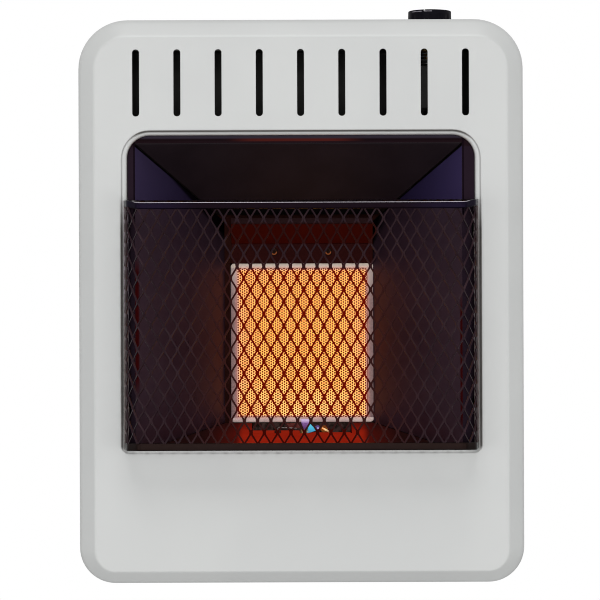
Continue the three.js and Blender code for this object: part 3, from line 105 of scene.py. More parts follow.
# %% Numbers in a material
class Signal:
    """A number on its way through a material: arithmetic on it adds Math nodes."""

    def __init__(self, finish, socket):
        self.finish = finish
        self.socket = socket

    def math(self, operation, *others):
        """One Math node: operation applied to this number and the others."""
        node = self.finish.node("ShaderNodeMath", {"operation": operation}, dict(enumerate((self, *others))))
        return Signal(self.finish, node.outputs[0])

    def flipped(self, operation, first):
        """The same node with this number as its second operand, for 1 - mask and 1 / mask."""
        node = self.finish.node("ShaderNodeMath", {"operation": operation}, {0: first, 1: self})
        return Signal(self.finish, node.outputs[0])

    def __add__(self, other): return self.math("ADD", other)
    def __radd__(self, other): return self.math("ADD", other)
    def __sub__(self, other): return self.math("SUBTRACT", other)
    def __rsub__(self, other): return self.flipped("SUBTRACT", other)
    def __mul__(self, other): return self.math("MULTIPLY", other)
    def __rmul__(self, other): return self.math("MULTIPLY", other)
    def __truediv__(self, other): return self.math("DIVIDE", other)
    def __neg__(self): return self.math("MULTIPLY", -1.0)
    def __abs__(self): return self.math("ABSOLUTE")
    def __or__(self, other): return self.math("MAXIMUM", other)

    def step(self, low, high):
        """0 below low, 1 above high, and a smooth rise between them."""
        node = self.finish.node("ShaderNodeMapRange", {"interpolation_type": "SMOOTHSTEP"},
                                {"Value": self, "From Min": low, "From Max": high})
        return Signal(self.finish, node.outputs["Result"])

    def fall(self, low, high):
        """1 below low, 0 above high, and a smooth fall between them."""
        return 1.0 - self.step(low, high)


print("signals ready")

# %% [markdown]
# `Finish` holds one material. Every node comes from its `node`, which sets the node's own settings
# first and then fills or links its sockets. `paint`, `shine` and `gloss` set its colour, its light and
# its roughness.


# %% Materials
class Finish:
    """A material: its Principled shader, its nodes, and the patterns that its colours come from."""

    def __init__(self, name, roughness=0.5, metallic=0.0, colour=(0.5, 0.5, 0.5), **constants):
        self.material = bpy.data.materials.new(name)
        self.material.use_nodes = True
        self.material.cycles.emission_sampling = "NONE"
        self.tree = self.material.node_tree
        self.shader = self.tree.nodes["Principled BSDF"]
        self.set("Base Color", colour)
        self.set("Roughness", roughness)
        self.set("Metallic", metallic)
        for socket, value in constants.items():
            self.set(socket.replace("_", " "), value)
        self.places = None
        self.grain = None

    def fill(self, socket, value):
        """Puts a link, a colour or a number on a socket."""
        if isinstance(value, Signal):
            self.tree.links.new(value.socket, socket)
        elif isinstance(value, bpy.types.NodeSocket):
            self.tree.links.new(value, socket)
        elif isinstance(value, (tuple, list)) and len(value) == 3 and len(socket.default_value) == 4:
            socket.default_value = (*value, 1.0)
        else:
            socket.default_value = value

    def set(self, socket, value):
        self.fill(self.shader.inputs[socket], value)

    def gloss(self, value):
        """Roughness, from 0 for a mirror to 1 for chalk."""
        self.set("Roughness", value)

    def paint(self, base, *layers):
        """Base colour: a colour with layers of (mask, colour) over it."""
        self.set("Base Color", self.layered(base, *layers))

    def shine(self, base, *layers):
        """Emission: a colour with layers of (mask, colour) over it."""
        self.set("Emission Color", self.layered(base, *layers))

    def node(self, kind, settings=None, sockets=None):
        """A node of any kind: its settings, a ramp's stops among them, and then its sockets."""
        node = self.tree.nodes.new(kind)
        for name, value in (settings or {}).items():
            if name == "stops":
                while len(node.color_ramp.elements) < len(value):
                    node.color_ramp.elements.new(1.0)
                for element, (place, colour) in zip(node.color_ramp.elements, value):
                    element.position = place
                    element.color = (*colour, 1.0)
            else:
                setattr(node, name, value)
        for name, value in (sockets or {}).items():
            self.fill(node.inputs[name], value)
        return node

    def object_place(self):
        """Object coordinates, in metres, as a vector socket."""
        if self.places is None:
            self.places = self.node("ShaderNodeTexCoord").outputs["Object"]
        return self.places

    def axes(self):
        """Object coordinates as three signals, in millimetres."""
        parts = self.node("ShaderNodeSeparateXYZ", None, {0: self.object_place()})
        return [Signal(self, output) * 1000.0 for output in parts.outputs]

    def noise(self, scale, detail=3.0, rough=0.5, stretch=(1, 1, 1)):
        """Noise from 0 to 1 with a grain of about 1 / scale metres, stretched along the axes."""
        place = self.node("ShaderNodeMapping", {"vector_type": "POINT"},
                          {"Vector": self.object_place(), "Scale": stretch}).outputs[0]
        node = self.node("ShaderNodeTexNoise", {"noise_dimensions": "3D"},
                         {"Vector": place, "Scale": scale, "Detail": detail, "Roughness": rough})
        return Signal(self, node.outputs["Fac"])

    def attribute(self, name):
        """A number that the piece keeps at each of its points."""
        return Signal(self, self.node("ShaderNodeAttribute", {"attribute_name": name}).outputs["Fac"])

    def blend(self, mask, first, second):
        """The first colour where mask is 0 and the second where it is 1."""
        node = self.node("ShaderNodeMix", {"data_type": "RGBA"}, {0: mask, 6: first, 7: second})
        return node.outputs[2]

    def layered(self, base, *layers):
        """A colour with others laid over it in turn: each layer is a mask and its colour."""
        for mask, colour in layers:
            base = self.blend(mask, base, colour)
        return base

    def ramp(self, signal, *stops):
        """Colours at places along a signal."""
        return self.node("ShaderNodeValToRGB", {"stops": stops}, {"Fac": signal}).outputs["Color"]

    def bump(self, height, strength=0.3, distance=0.0005):
        """Relief in the surface: distance is its height in metres."""
        sockets = {"Height": height, "Strength": strength, "Distance": distance}
        self.set("Normal", self.node("ShaderNodeBump", None, sockets).outputs["Normal"])


print("finishes ready")

# %% [markdown]
# Many small parts need no more than one grain between two tones, which `grained` makes. `dress` gives a
# finish to CAD nodes that keep their own shape.


# %% Plain finishes
def grained(name, grain, dark, light, gloss=None, **constants):
    """A finish whose colour goes from dark to light with one grain; gloss is (roughness, change)."""
    finish = Finish(name, **constants)
    finish.grain = finish.noise(*grain)
    finish.paint(dark, (finish.grain, light))
    if gloss:
        finish.gloss(gloss[0] + gloss[1] * finish.grain)
    return finish


def dress(finish, *names):
    """Gives CAD nodes that keep their own shape a finish."""
    for name in names:
        mesh = nodes[name].data
        mesh.materials.clear()
        mesh.materials.append(finish.material)
    print(finish.material.name, "on", *names)


print("helpers ready")

# %% [markdown]
# A white background must not light the object more than the lamps do. The world therefore shows white
# to the camera, to reflections and through glass, and a quieter grey to everything else. The lamps are
# broad and frontal, with more light from above, so that the top bevel of the panel is a little brighter
# than its face and the lower bevel darker, as in the photograph.

# %% World, lamps and floor
world = bpy.data.worlds.new("studio")
scene.world = world
world.use_nodes = True
sky = world.node_tree
background = sky.nodes["Background"]
rays = sky.nodes.new("ShaderNodeLightPath")
level = sky.nodes.new("ShaderNodeMapRange")
level.inputs["To Min"].default_value = 0.30
level.inputs["To Max"].default_value = 1.0
shown = rays.outputs["Is Camera Ray"]
for ray in ("Is Transmission Ray", "Is Glossy Ray"):
    either = sky.nodes.new("ShaderNodeMath")
    either.operation = "MAXIMUM"
    sky.links.new(shown, either.inputs[0])
    sky.links.new(rays.outputs[ray], either.inputs[1])
    shown = either.outputs[0]
sky.links.new(shown, level.inputs["Value"])
sky.links.new(level.outputs["Result"], background.inputs["Strength"])
background.inputs["Color"].default_value = (1, 1, 1, 1)


def lamp(name, place, size, power, target=(0, -0.1, 0)):
    """A square area light that looks at the object."""
    data = bpy.data.lights.new(name, "AREA")
    data.shape = "SQUARE"
    data.size = size
    data.energy = power
    obj = bpy.data.objects.new(name, data)
    obj.location = place
    obj.rotation_euler = (Vector(target) - Vector(place)).to_track_quat("-Z", "Y").to_euler()
    scene.collection.objects.link(obj)


lamp("key_above", (0.0, -2.6, 3.3), 2.4, 66)
lamp("fill_left", (-2.1, -2.6, -0.3), 1.3, 12.5)
lamp("fill_right", (2.1, -2.6, -0.3), 1.3, 12.5)
lamp("front", (0.0, -4.4, -0.3), 2.4, 39.5)

floor_finish = Finish("studio_floor", roughness=0.9, colour=(0.86, 0.86, 0.86))
floor_mesh = bpy.data.meshes.new("studio_floor")
floor_mesh.from_pydata([(-6, -7, -1.2), (6, -7, -1.2), (6, 3, -1.2), (-6, 3, -1.2)], [], [(0, 1, 2, 3)])
floor_mesh.materials.append(floor_finish.material)
floor = bpy.data.objects.new("studio_floor", floor_mesh)
scene.collection.objects.link(floor)
floor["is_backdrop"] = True

# %% [markdown]
# ## Surfaces from arrays
# Every new piece is a grid of points worked out at once with numpy. `quads` joins the points of a grid
# into faces, and `outward` turns a closed surface inside out where it encloses a negative volume.


# %% Grids
def quads(rows, cols, around=False, along=False, start=0):
    """Faces of a rows x cols grid. around joins the last column to the first, along the rows."""
    r = np.arange(rows if along else rows - 1)
    c = np.arange(cols if around else cols - 1)
    r, c = (a.ravel() for a in np.meshgrid(r, c, indexing="ij"))
    down, right = (r + 1) % rows, (c + 1) % cols
    return start + np.stack([r * cols + c, r * cols + right, down * cols + right, down * cols + c], axis=1)


def capped(rows, cols):
    """Faces of a tube of rows rings with cols points each: its wall, and a face over either end."""
    wall = [list(f) for f in quads(rows, cols, around=True)]
    return wall + [list(range(cols))[::-1], list(range((rows - 1) * cols, rows * cols))]


def volume(points, faces):
    """Signed volume of a closed surface: the sum over its fan triangles of a . (b x c) / 6."""
    total = 0.0
    for size in {len(f) for f in faces}:
        rings = np.array([f for f in faces if len(f) == size])
        for k in range(1, size - 1):
            a, b, c = (points[rings[:, i]] for i in (0, k, k + 1))
            total += np.einsum("ij,ij->", a, np.cross(b, c)) / 6
    return total


def outward(points, faces):
    """The faces with their corners in the order that makes a closed surface look outwards."""
    faces = [list(map(int, f)) for f in faces]
    return [f[::-1] for f in faces] if volume(points, faces) < 0 else faces


def joined(*parts):
    """Several closed (points, faces), each looking outwards, put together as one mesh."""
    points, faces, count = [], [], 0
    for p, f in parts:
        points.append(p)
        faces += [[i + count for i in face] for face in outward(p, f)]
        count += len(p)
    return np.concatenate(points), faces


print("grid helpers ready")

# %% [markdown]
# `piece` puts the arrays into a mesh, gives it a finish and lets it ride on a body of the frame.


# %% Pieces
def piece(name, points, faces, finish, body="heater", slot=None, stands_for=(), closed=True, angle=40,
          thickness=None):
    """A mesh piece from points in millimetres. angle is where shading turns sharp; thickness adds a
    sheet's wall behind its face."""
    points = np.asarray(points, float)
    faces = outward(points, faces) if closed else [list(map(int, f)) for f in faces]
    mesh = bpy.data.meshes.new(name)
    mesh.from_pydata(points / 1000.0, [], faces)
    mesh.polygons.foreach_set("use_smooth", np.ones(len(faces), bool))
    mesh.set_sharp_from_angle(angle=math.radians(angle))
    mesh.materials.append(finish.material)
    mesh.update()
    obj = bpy.data.objects.new(name, mesh)
    scene.collection.objects.link(obj)
    if thickness:
        wall = obj.modifiers.new("sheet", "SOLIDIFY")
        wall.thickness = thickness / 1000.0
        wall.offset = -1
        wall.use_even_offset = False
        wall.use_quality_normals = True
    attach(obj, body)
    if stands_for:
        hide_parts(*stands_for)
    print(name, "points", len(points), "faces", len(faces))
    return obj


def mark(obj, name, values):
    """Keeps a number at each point of a piece, for its finish to read."""
    kept = obj.data.attributes.new(name, "FLOAT", "POINT").data
    kept.foreach_set("value", values.ravel().astype(np.float32))


def box_of(name):
    """Low and high corner of a CAD node, in millimetres."""
    return (1000 * np.array(corner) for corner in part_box(name))


print("piece helpers ready")

# %% [markdown]
# Sheet metal, rods and turned pieces come down to a few curves. `rounded` draws the outline of
# everything that is stamped, `bent` draws a press radius as a quadratic curve, and `carried` takes a
# circle along a path, which makes a wire, a rod or a flame.


# %% Outlines and sections
def columns(*values):
    """Coordinates, stretched to one shape and put side by side as the last axis of an array."""
    return np.stack(np.broadcast_arrays(*values), axis=-1)


def rounded(x0, x1, z0, z1, top, bottom, steps=14, straight=1):
    """A round-cornered outline, counter-clockwise from the lower right: quarter circles joined by
    straight runs of `straight` parts. Returns x and z as an array of shape (points, 2)."""
    turn = np.linspace(0, math.pi / 2, steps + 1)
    corners = [(x1 - bottom, z0 + bottom, bottom, -math.pi / 2), (x1 - top, z1 - top, top, 0),
               (x0 + top, z1 - top, top, math.pi / 2), (x0 + bottom, z0 + bottom, bottom, math.pi)]
    arcs = [columns(x + r * np.cos(a + turn), z + r * np.sin(a + turn)) for x, z, r, a in corners]
    runs = []
    for here, following in zip(arcs, arcs[1:] + arcs[:1]):
        share = np.linspace(0, 1, straight + 1)[1:-1, None]
        runs += [here, here[-1] * (1 - share) + following[0] * share]
    return np.concatenate(runs)


def circle(sides, start=0.0):
    """Angles once round a circle."""
    return start + np.linspace(0, 2 * math.pi, sides, endpoint=False)


def at_depth(outline, depth):
    """An outline in x and z set at a depth, as points."""
    return columns(outline[:, 0], -float(depth), outline[:, 1])


def smooth(t):
    """3 t^2 - 2 t^3, from 0 to 1."""
    t = np.clip(t, 0, 1)
    return t * t * (3 - 2 * t)


def bent(before, corner, after, count=6):
    """A quadratic curve that leaves `before` towards `corner` and arrives at `after`."""
    t = np.linspace(0, 1, count)[:, None]
    before, corner, after = (np.asarray(p, float) for p in (before, corner, after))
    return (1 - t) ** 2 * before + 2 * t * (1 - t) * corner + t ** 2 * after


def carried(path, radii, sides=20):
    """A round section carried along a path of (x, depth, z) points: at each station a circle of its own
    radius in the plane square to the path. Both ends are closed."""
    path = np.asarray(path, float) * (1, -1, 1)
    tangent = unit(np.gradient(path, axis=0))
    guide = np.array([0.0, 1.0, 0.0]) if abs(tangent[:, 1]).max() < 0.9 else np.array([1.0, 0.0, 0.0])
    first = unit(np.cross(tangent, guide))
    second = np.cross(tangent, first)
    angle = circle(sides)[None, :, None]
    r = np.asarray(radii, float)[:, None, None]
    points = path[:, None] + r * (np.cos(angle) * first[:, None] + np.sin(angle) * second[:, None])
    return points.reshape(-1, 3), capped(len(path), sides)


def unit(vectors):
    """Vectors brought to length 1."""
    return vectors / np.linalg.norm(vectors, axis=-1, keepdims=True)


def filled(*loops):
    """Triangles over the area between flat loops, as numbers of the loops' points in turn."""
    corners = np.concatenate(loops)
    triangles = []
    for a, b, c in tessellate_polygon([[Vector((*p, 0)) for p in loop] for loop in loops]):
        area = np.cross(corners[b] - corners[a], corners[c] - corners[a])
        triangles.append((a, b, c) if area > 0 else (a, c, b))
    return triangles


print("outline helpers ready")

# %% [markdown]
# ## The front panel
# The panel is one sheet of 1.2 mm steel pressed into a shallow pan: a straight wall, a broad bevel, a
# crease that catches the light, and a flat face with nine punched slots and a window whose edge is
# stepped back. It could be a box with a bevel, but the bevels have three widths and two corner radii.
# So it is a stack of round-cornered outlines from the rear rim to the crease, each a blend of the outer
# outline and the crease, and the face between the crease, the slots and the window is filled by
# triangles in its own plane.

# %% Sizes of the panel, the tile and the guard
CABINET_HALF, _, CABINET_TOP = list(box_of("cabinet_back"))[1]
PANEL_HALF, _, PANEL_TOP = list(box_of("front_panel"))[1]
FACE, PAN_REAR = 165.0, 121.0
BEVEL_SIDE, BEVEL_TOP, BEVEL_BOTTOM, BEVEL_DEPTH = 16.0, 17.6, 11.8, 11.0
STEEL = 1.2
SLOT_COUNT, SLOT_PITCH = 9, 40.0
SLOTS = [SLOT_PITCH * (i - SLOT_COUNT // 2) for i in range(SLOT_COUNT)]
SLOT_HALF, SLOT_LOW, SLOT_TOP, SLOT_CORNER = 3.35, 179.5, 244.5, 3.2
PAN_CORNERS, CREASE_CORNERS = np.array([48, 35]), np.array([30, 20])
WINDOW_HALF, WINDOW_LOW, WINDOW_TOP = 168.9, -143.3, 161.3
WINDOW_CORNERS = (22.0, 1.5)
HOOK_LEVELS = (86.0, -111.0, -125.0)
TILE_X, TILE_Z, TILE_HALF_X, TILE_HALF_Z, TILE_FRONT = 0.9, -42.0, 66.0, 75.5, 66.2
GUARD_BACK, GUARD_FRONT = 165.6, 208.0
HALF_BACK, HALF_FRONT = 172.0, 156.5
TOP_BACK, TOP_FRONT = 98.0, 94.3
LOW_BACK, LOW_FRONT = -143.3, -142.5


def pan_outline(share, inset=0.0):
    """share 0 is the pan's wall and 1 its crease; inset shrinks the outline evenly."""
    return rounded(-PANEL_HALF + share * BEVEL_SIDE + inset, PANEL_HALF - share * BEVEL_SIDE - inset,
                   -PANEL_TOP + share * BEVEL_BOTTOM + inset, PANEL_TOP - share * BEVEL_TOP - inset,
                   *(PAN_CORNERS - (PAN_CORNERS - CREASE_CORNERS) * share - inset))


def window_outline(grow):
    """The window's opening, grown by a distance, a little less along its top and bottom."""
    top_corner, low_corner = WINDOW_CORNERS
    return rounded(-WINDOW_HALF - grow, WINDOW_HALF + grow, WINDOW_LOW - 0.84 * grow,
                   WINDOW_TOP + 0.82 * grow, top_corner + grow, low_corner + grow, 10, 8)


def slot_outline(x, grow=0.0):
    """A slot with round ends, 6.7 by 65 mm, grown by a distance."""
    half, corner = SLOT_HALF + grow, SLOT_CORNER + grow
    return rounded(x - half, x + half, SLOT_LOW - grow, SLOT_TOP + grow, corner, corner, 8)


print("panel", np.round((PANEL_HALF, PANEL_TOP), 2), "cabinet", np.round((CABINET_HALF, CABINET_TOP), 2))
print("slots at", SLOTS)

# %% [markdown]
# The paint is a pale warm grey powder coat. Powder melts into a skin with a faint orange-peel relief, about 2
# mm from crest to crest, and a soft gloss, so the relief goes into a bump and the gloss into roughness with a
# slow change over the panel. Painted shade in the window's groove and on its edge, darkest above the window
# and beside the guard, is a number kept at the points of the panel.

# %% Panel paint
panel_paint = Finish("panel_powder_coat", roughness=0.36, Coat_Weight=0.15, Coat_Roughness=0.18)
peel = panel_paint.noise(520, 2.0)
cloud = panel_paint.noise(9, 2.0)
# The last layer is painted shade in the window's groove and on its edge, darkest above the window and beside
# the guard.
panel_paint.paint((0.567, 0.577, 0.571), (cloud.step(0.35, 0.65), (0.588, 0.598, 0.590)),
                  (panel_paint.attribute("grime"), (0.040, 0.032, 0.024)))
panel_paint.gloss(0.33 + 0.05 * cloud + 0.03 * peel)
panel_paint.bump(peel, 0.10, 0.0002)
print("paint", panel_paint.material.name)

# %% [markdown]
# The pressing is built from rings. Those of the pan run from the rear rim over two soft bends to the
# crease.


# %% Rings of the pan
def panel_rings():
    """Rings of the pan from its rear rim to the crease: wall, two soft bends and the bevel."""
    wall_end = FACE - BEVEL_DEPTH
    profile = np.concatenate([
        [(0.0, PAN_REAR + 1.6), (0.0, PAN_REAR + 6), (0.0, wall_end - 8)],
        bent((0, wall_end - 3.4), (0, wall_end), (0.24, wall_end + 0.24 * BEVEL_DEPTH), 8),
        [(0.5, wall_end + 0.5 * BEVEL_DEPTH)],
        bent((0.90, wall_end + 0.90 * BEVEL_DEPTH), (1.0, FACE), (1.09, FACE), 8),
        [(1.13, FACE)]])
    half, top = CABINET_HALF + 0.3, CABINET_TOP + 0.3
    rim = [at_depth(rounded(-half, half, -top, top, 1.0, 1.0), PAN_REAR),
           at_depth(pan_outline(0, 1.4), PAN_REAR), at_depth(pan_outline(0, 0.4), PAN_REAR + 0.4)]
    return rim + [at_depth(pan_outline(share), depth) for share, depth in profile]


print("rings of the pan", len(panel_rings()))

# %% [markdown]
# The rings of the window run from the face down a step into a groove, over a ledge and round the rolled
# edge.


# %% Rings of the window
def lip_rings():
    """Rings of the window's edge: two support rings on the face, a step back into a groove, a ledge and a
    rolled edge. The step is sharp along the top and beside the guard, and gentle elsewhere: the depth is a
    blend of two profiles by the place. Each ring has its share of painted shade above the window, beside the
    guard and elsewhere, and at the guard's hooks, at three levels, the inner rings are left without painted
    shade."""
    # The last three columns below are shares of painted shade above the window, beside the guard and
    # elsewhere.
    profile = [  # grown by, depth where sharp and where gentle, grime above, beside and elsewhere
        (9.4, 0, 0, 0, 0, 0), (7.0, 0, 0, 0, 0.05, 0), (6.0, 0.02, 0.01, 0.05, 0.82, 0),
        (5.5, 0.35, 0.12, 0.45, 0.94, 0.06), (5.2, 1.3, 0.35, 0.84, 0.72, 0.14),
        (4.8, 2.3, 0.6, 0.88, 0.72, 0.16), (4.3, 2.6, 0.9, 0.82, 0.88, 0.10),
        (3.4, 2.2, 1.3, 0.38, 0.72, 0.02), (2.4, 2.1, 1.7, 0.17, 0.52, 0),
        (1.2, 2.5, 2.3, 0.09, 0.54, 0), (0.6, 3.2, 3.0, 0, 0.64, 0),
        (0.2, 4.6, 4.4, 0.2, 0.9, 0.2), (0.0, 6.4, 6.4, 0.8, 0.9, 0.8), (0.0, 9.0, 9.0, 0.9, 0.9, 0.9)]
    rings, shade_shares = [], []
    for grow, sharp, gentle, above, beside, other in profile:
        ring = window_outline(grow)
        x, z = ring[:, 0], ring[:, 1]
        over = smooth((z - 154) / 10) * smooth((176 - abs(x)) / 12)
        flank = smooth((abs(x) - 166) / 4) * smooth((104 - z) / 6) * smooth((z + 147) / 8)
        edge = np.maximum(flank, 0.45 * smooth((z + 100) / 20))
        # At the guard's hooks the inner rings are left without painted shade, so the lip shows light there.
        unshaded = np.max([smooth(1.5 - abs(z - hook) / 3.0) for hook in HOOK_LEVELS], axis=0) * (grow <= 1.2)
        points = at_depth(ring, FACE)
        points[:, 1] += gentle + (sharp - gentle) * np.maximum(over, edge)
        rings.append(points)
        beside = beside * (1.0 - 0.2 * (x > 0) * (grow < 3)) * (1.0 - 0.95 * unshaded)
        elsewhere = other * (1 - over) * (1 - flank)
        shade_shares.append(np.maximum(over * above, np.maximum(flank * beside, elsewhere)))
    return rings, np.concatenate(shade_shares)


print("rings of the window", len(lip_rings()[0]))

# %% [markdown]
# Everything between the crease, the slots and the window lies in one plane, so triangles fill it.


# %% Pressed panel
def pressed_panel():
    """Joins the pan, the flat face with its holes, and the window's edge into one sheet."""
    pan, (lip, lip_painted_shade) = panel_rings(), lip_rings()
    n, m = len(pan[0]), len(lip[0])
    lip_start = len(pan) * n
    slot_start = lip_start + len(lip) * m
    slots = [at_depth(slot_outline(x, 0.6), FACE) for x in SLOTS]
    punched = [at_depth(slot_outline(x), FACE) for x in SLOTS]
    k = len(slots[0])
    points = np.concatenate(pan + lip + slots + punched)
    faces = quads(len(pan), n, around=True).tolist()
    faces += quads(len(lip), m, around=True, start=lip_start).tolist()
    here = np.arange(SLOT_COUNT * k).reshape(SLOT_COUNT, k)
    following = np.roll(here, -1, axis=1)
    ring = np.stack([here, following, following + SLOT_COUNT * k, here + SLOT_COUNT * k], axis=-1)
    faces += (ring.reshape(-1, 4) + slot_start).tolist()
    loops = [pan[-1], lip[0]] + slots
    numbers = np.concatenate([np.arange(lip_start - n, lip_start + m), here.ravel() + slot_start])
    faces += [[int(numbers[i]) for i in face] for face in filled(*[loop[:, [0, 2]] for loop in loops])]
    # Painted shade of the window's edge; zero on the rest of the panel.
    grime = np.zeros(len(points))
    grime[lip_start:slot_start] = lip_painted_shade
    return points, faces, grime


panel_points, panel_faces, panel_painted_shade = pressed_panel()
front = piece("front_panel_pressing", panel_points, panel_faces, panel_paint, slot="panel_paint",
              stands_for=["front_panel"], closed=False, angle=50, thickness=STEEL)
mark(front, "grime", panel_painted_shade)

# %% [markdown]
# ## The guard
# The guard is a tray of expanded metal: a slit sheet drawn out into diamonds, folded round to the
# firebox on both sides, with a hemmed strip along its top and bottom. It could be an array of crossed
# wires, but expanded metal is one sheet, so its strands are flat, lean a little, and run together at
# the knuckles. Here each strand is a small four-sided bar through four stations, laid out on the flat
# sheet, and one function folds the sheet into the tray.
#
# Its finish is plated steel under soot. The strands in front of the tile look deep red, because the glow
# shines through the gaps and round their edges, so a mask of the tile's place gives them a painted glow: a
# little emission of their own and a darker red base. The strands in front of the red floor get the same. The
# strands near the tile and beside the slopes above it carry painted red light in their base colour.

# %% Guard finish
guard_finish = Finish("guard_steel", roughness=0.42, metallic=1.0, Emission_Strength=1.0)
soot = guard_finish.noise(60, 3.0)
guard_x, guard_y, guard_z = guard_finish.axes()
off_tile = abs(guard_x - TILE_X)
over_tile = off_tile.fall(60.0, 64.0) * abs(guard_z + 39.8).fall(69.0, 71.4)
over_floor = (abs(guard_x - 2.0) / 70.0).fall(0.6, 1.2) * (-guard_z - 121.0).step(0.0, 2.0)
# Painted red light of the tile: a redder base near the tile and beside the slopes above it.
near_tile = off_tile.fall(72.0, 125.0) * guard_z.fall(20.0, 55.0)
by_slope = (off_tile - 70.0).fall(0.0, 3.0) * (abs(guard_z - 64.5) / 10.5).fall(0.85, 1.1)
rear_edge = (abs(guard_x) - 167.6).step(0.0, 2.0)
ahead = (-guard_y - 195.0).step(0.0, 4.0)
# Painted glow of the tile and of the red floor on the strands in front of them, as emission and a darker
# base.
painted_glow = (over_tile | over_floor) * ahead
guard_finish.paint(
    (0.018, 0.0098, 0.0128), (soot.step(0.3, 0.7), (0.027, 0.0150, 0.0185)),
    (near_tile, (0.029, 0.0085, 0.0080)), (by_slope * 0.8, (0.020, 0.0028, 0.0014)),
    (rear_edge, (0.066, 0.052, 0.050)), (painted_glow, (0.008, 0.0008, 0.0004)))
guard_finish.shine((0.0, 0.0, 0.0), (painted_glow, (0.030, 0.0015, 0.0008)),
                   (over_tile * ahead, (0.125, 0.0030, 0.0002)))
guard_finish.gloss(0.34 + 0.14 * soot)
print("guard", guard_finish.material.name)

# %% [markdown]
# The tray narrows towards its front, and its top and bottom lean. `along_guard` makes each of its sizes
# a function of the depth, also the inner edges of the strips along its top and bottom. `tray_path` is
# the folded sheet seen from above, and `folded` lays a point of the flat sheet on it.

# %% Guard layout
CHAMFER_BACK, CHAMFER_SHARE = 197.0, 0.25
SHEET_INSIDE = 1.2


def along_guard(at_back, at_front, offset=0.0):
    """A guard size as a function of the depth: a quarter of its change comes evenly along the deep
    walls, and the rest in the slanted fold behind the front."""
    def size(depth):
        share = np.interp(depth, [GUARD_BACK, CHAMFER_BACK, GUARD_FRONT], [0.0, CHAMFER_SHARE, 1.0])
        return at_back + (at_front - at_back) * share + offset
    return size


half_width = along_guard(HALF_BACK, HALF_FRONT)
tray_top = along_guard(TOP_BACK, TOP_FRONT)
tray_low = along_guard(LOW_BACK, LOW_FRONT)
strip_top = along_guard(TOP_BACK, TOP_FRONT, -6.5)
strip_bottom = along_guard(LOW_BACK, LOW_FRONT, 7.3)


def tray_path(rear=167.1, bend=3.0):
    """The folded sheet seen from above: along the left wall, round the front and back along the right
    wall. Returns the run u along it (0 at the middle of the front), x and depth."""
    front = GUARD_FRONT - SHEET_INSIDE
    corner = np.array([HALF_FRONT - SHEET_INSIDE * 0.5, front])
    fold = np.array([half_width(CHAMFER_BACK) - SHEET_INSIDE, CHAMFER_BACK - SHEET_INSIDE * 0.4])
    wall = np.array([half_width(rear) - SHEET_INSIDE, rear])
    toward = lambda a, b: a + (b - a) * bend / np.linalg.norm(b - a)
    right = np.concatenate([[[0.0, front]], bent(corner - (bend, 0), corner, toward(corner, fold), 9),
                            bent(toward(fold, corner), fold, toward(fold, wall), 7), [wall]])
    left = right[:0:-1] * (-1, 1)
    path = np.concatenate([left, right])
    run = np.concatenate([[0], np.cumsum(np.linalg.norm(np.diff(path, axis=0), axis=1))])
    return run - run[len(left)], path[:, 0], path[:, 1]


def folded(u, z, out):
    """A point of the flat sheet on the tray: u along the path, z up, out along the sheet's normal."""
    run, xs, depths = tray_path()
    x, depth = np.interp(u, run, xs), np.interp(u, run, depths)
    tx = np.interp(u + 0.3, run, xs) - np.interp(u - 0.3, run, xs)
    td = np.interp(u + 0.3, run, depths) - np.interp(u - 0.3, run, depths)
    size = np.hypot(tx, td)
    return columns(x - out * td / size, -(depth + out * tx / size), z)


def depth_of(u):
    """Depth of the tray at a place along its path."""
    run, _, depths = tray_path()
    return np.interp(u, run, depths)


ends = tray_path()[0][[0, -1]]
print("tray run", [round(float(e), 1) for e in ends])

# %% [markdown]
# `strands` works on the flat sheet alone, and takes the function that lays it in its place. So it makes
# the wrap, the lid and the floor.

# %% Strands
PITCH_X, PITCH_Z = 12.7, 22.68
STRAND, SHEET = 1.9, 0.9
LATTICE_X, LATTICE_Z = -86.5, 78.6


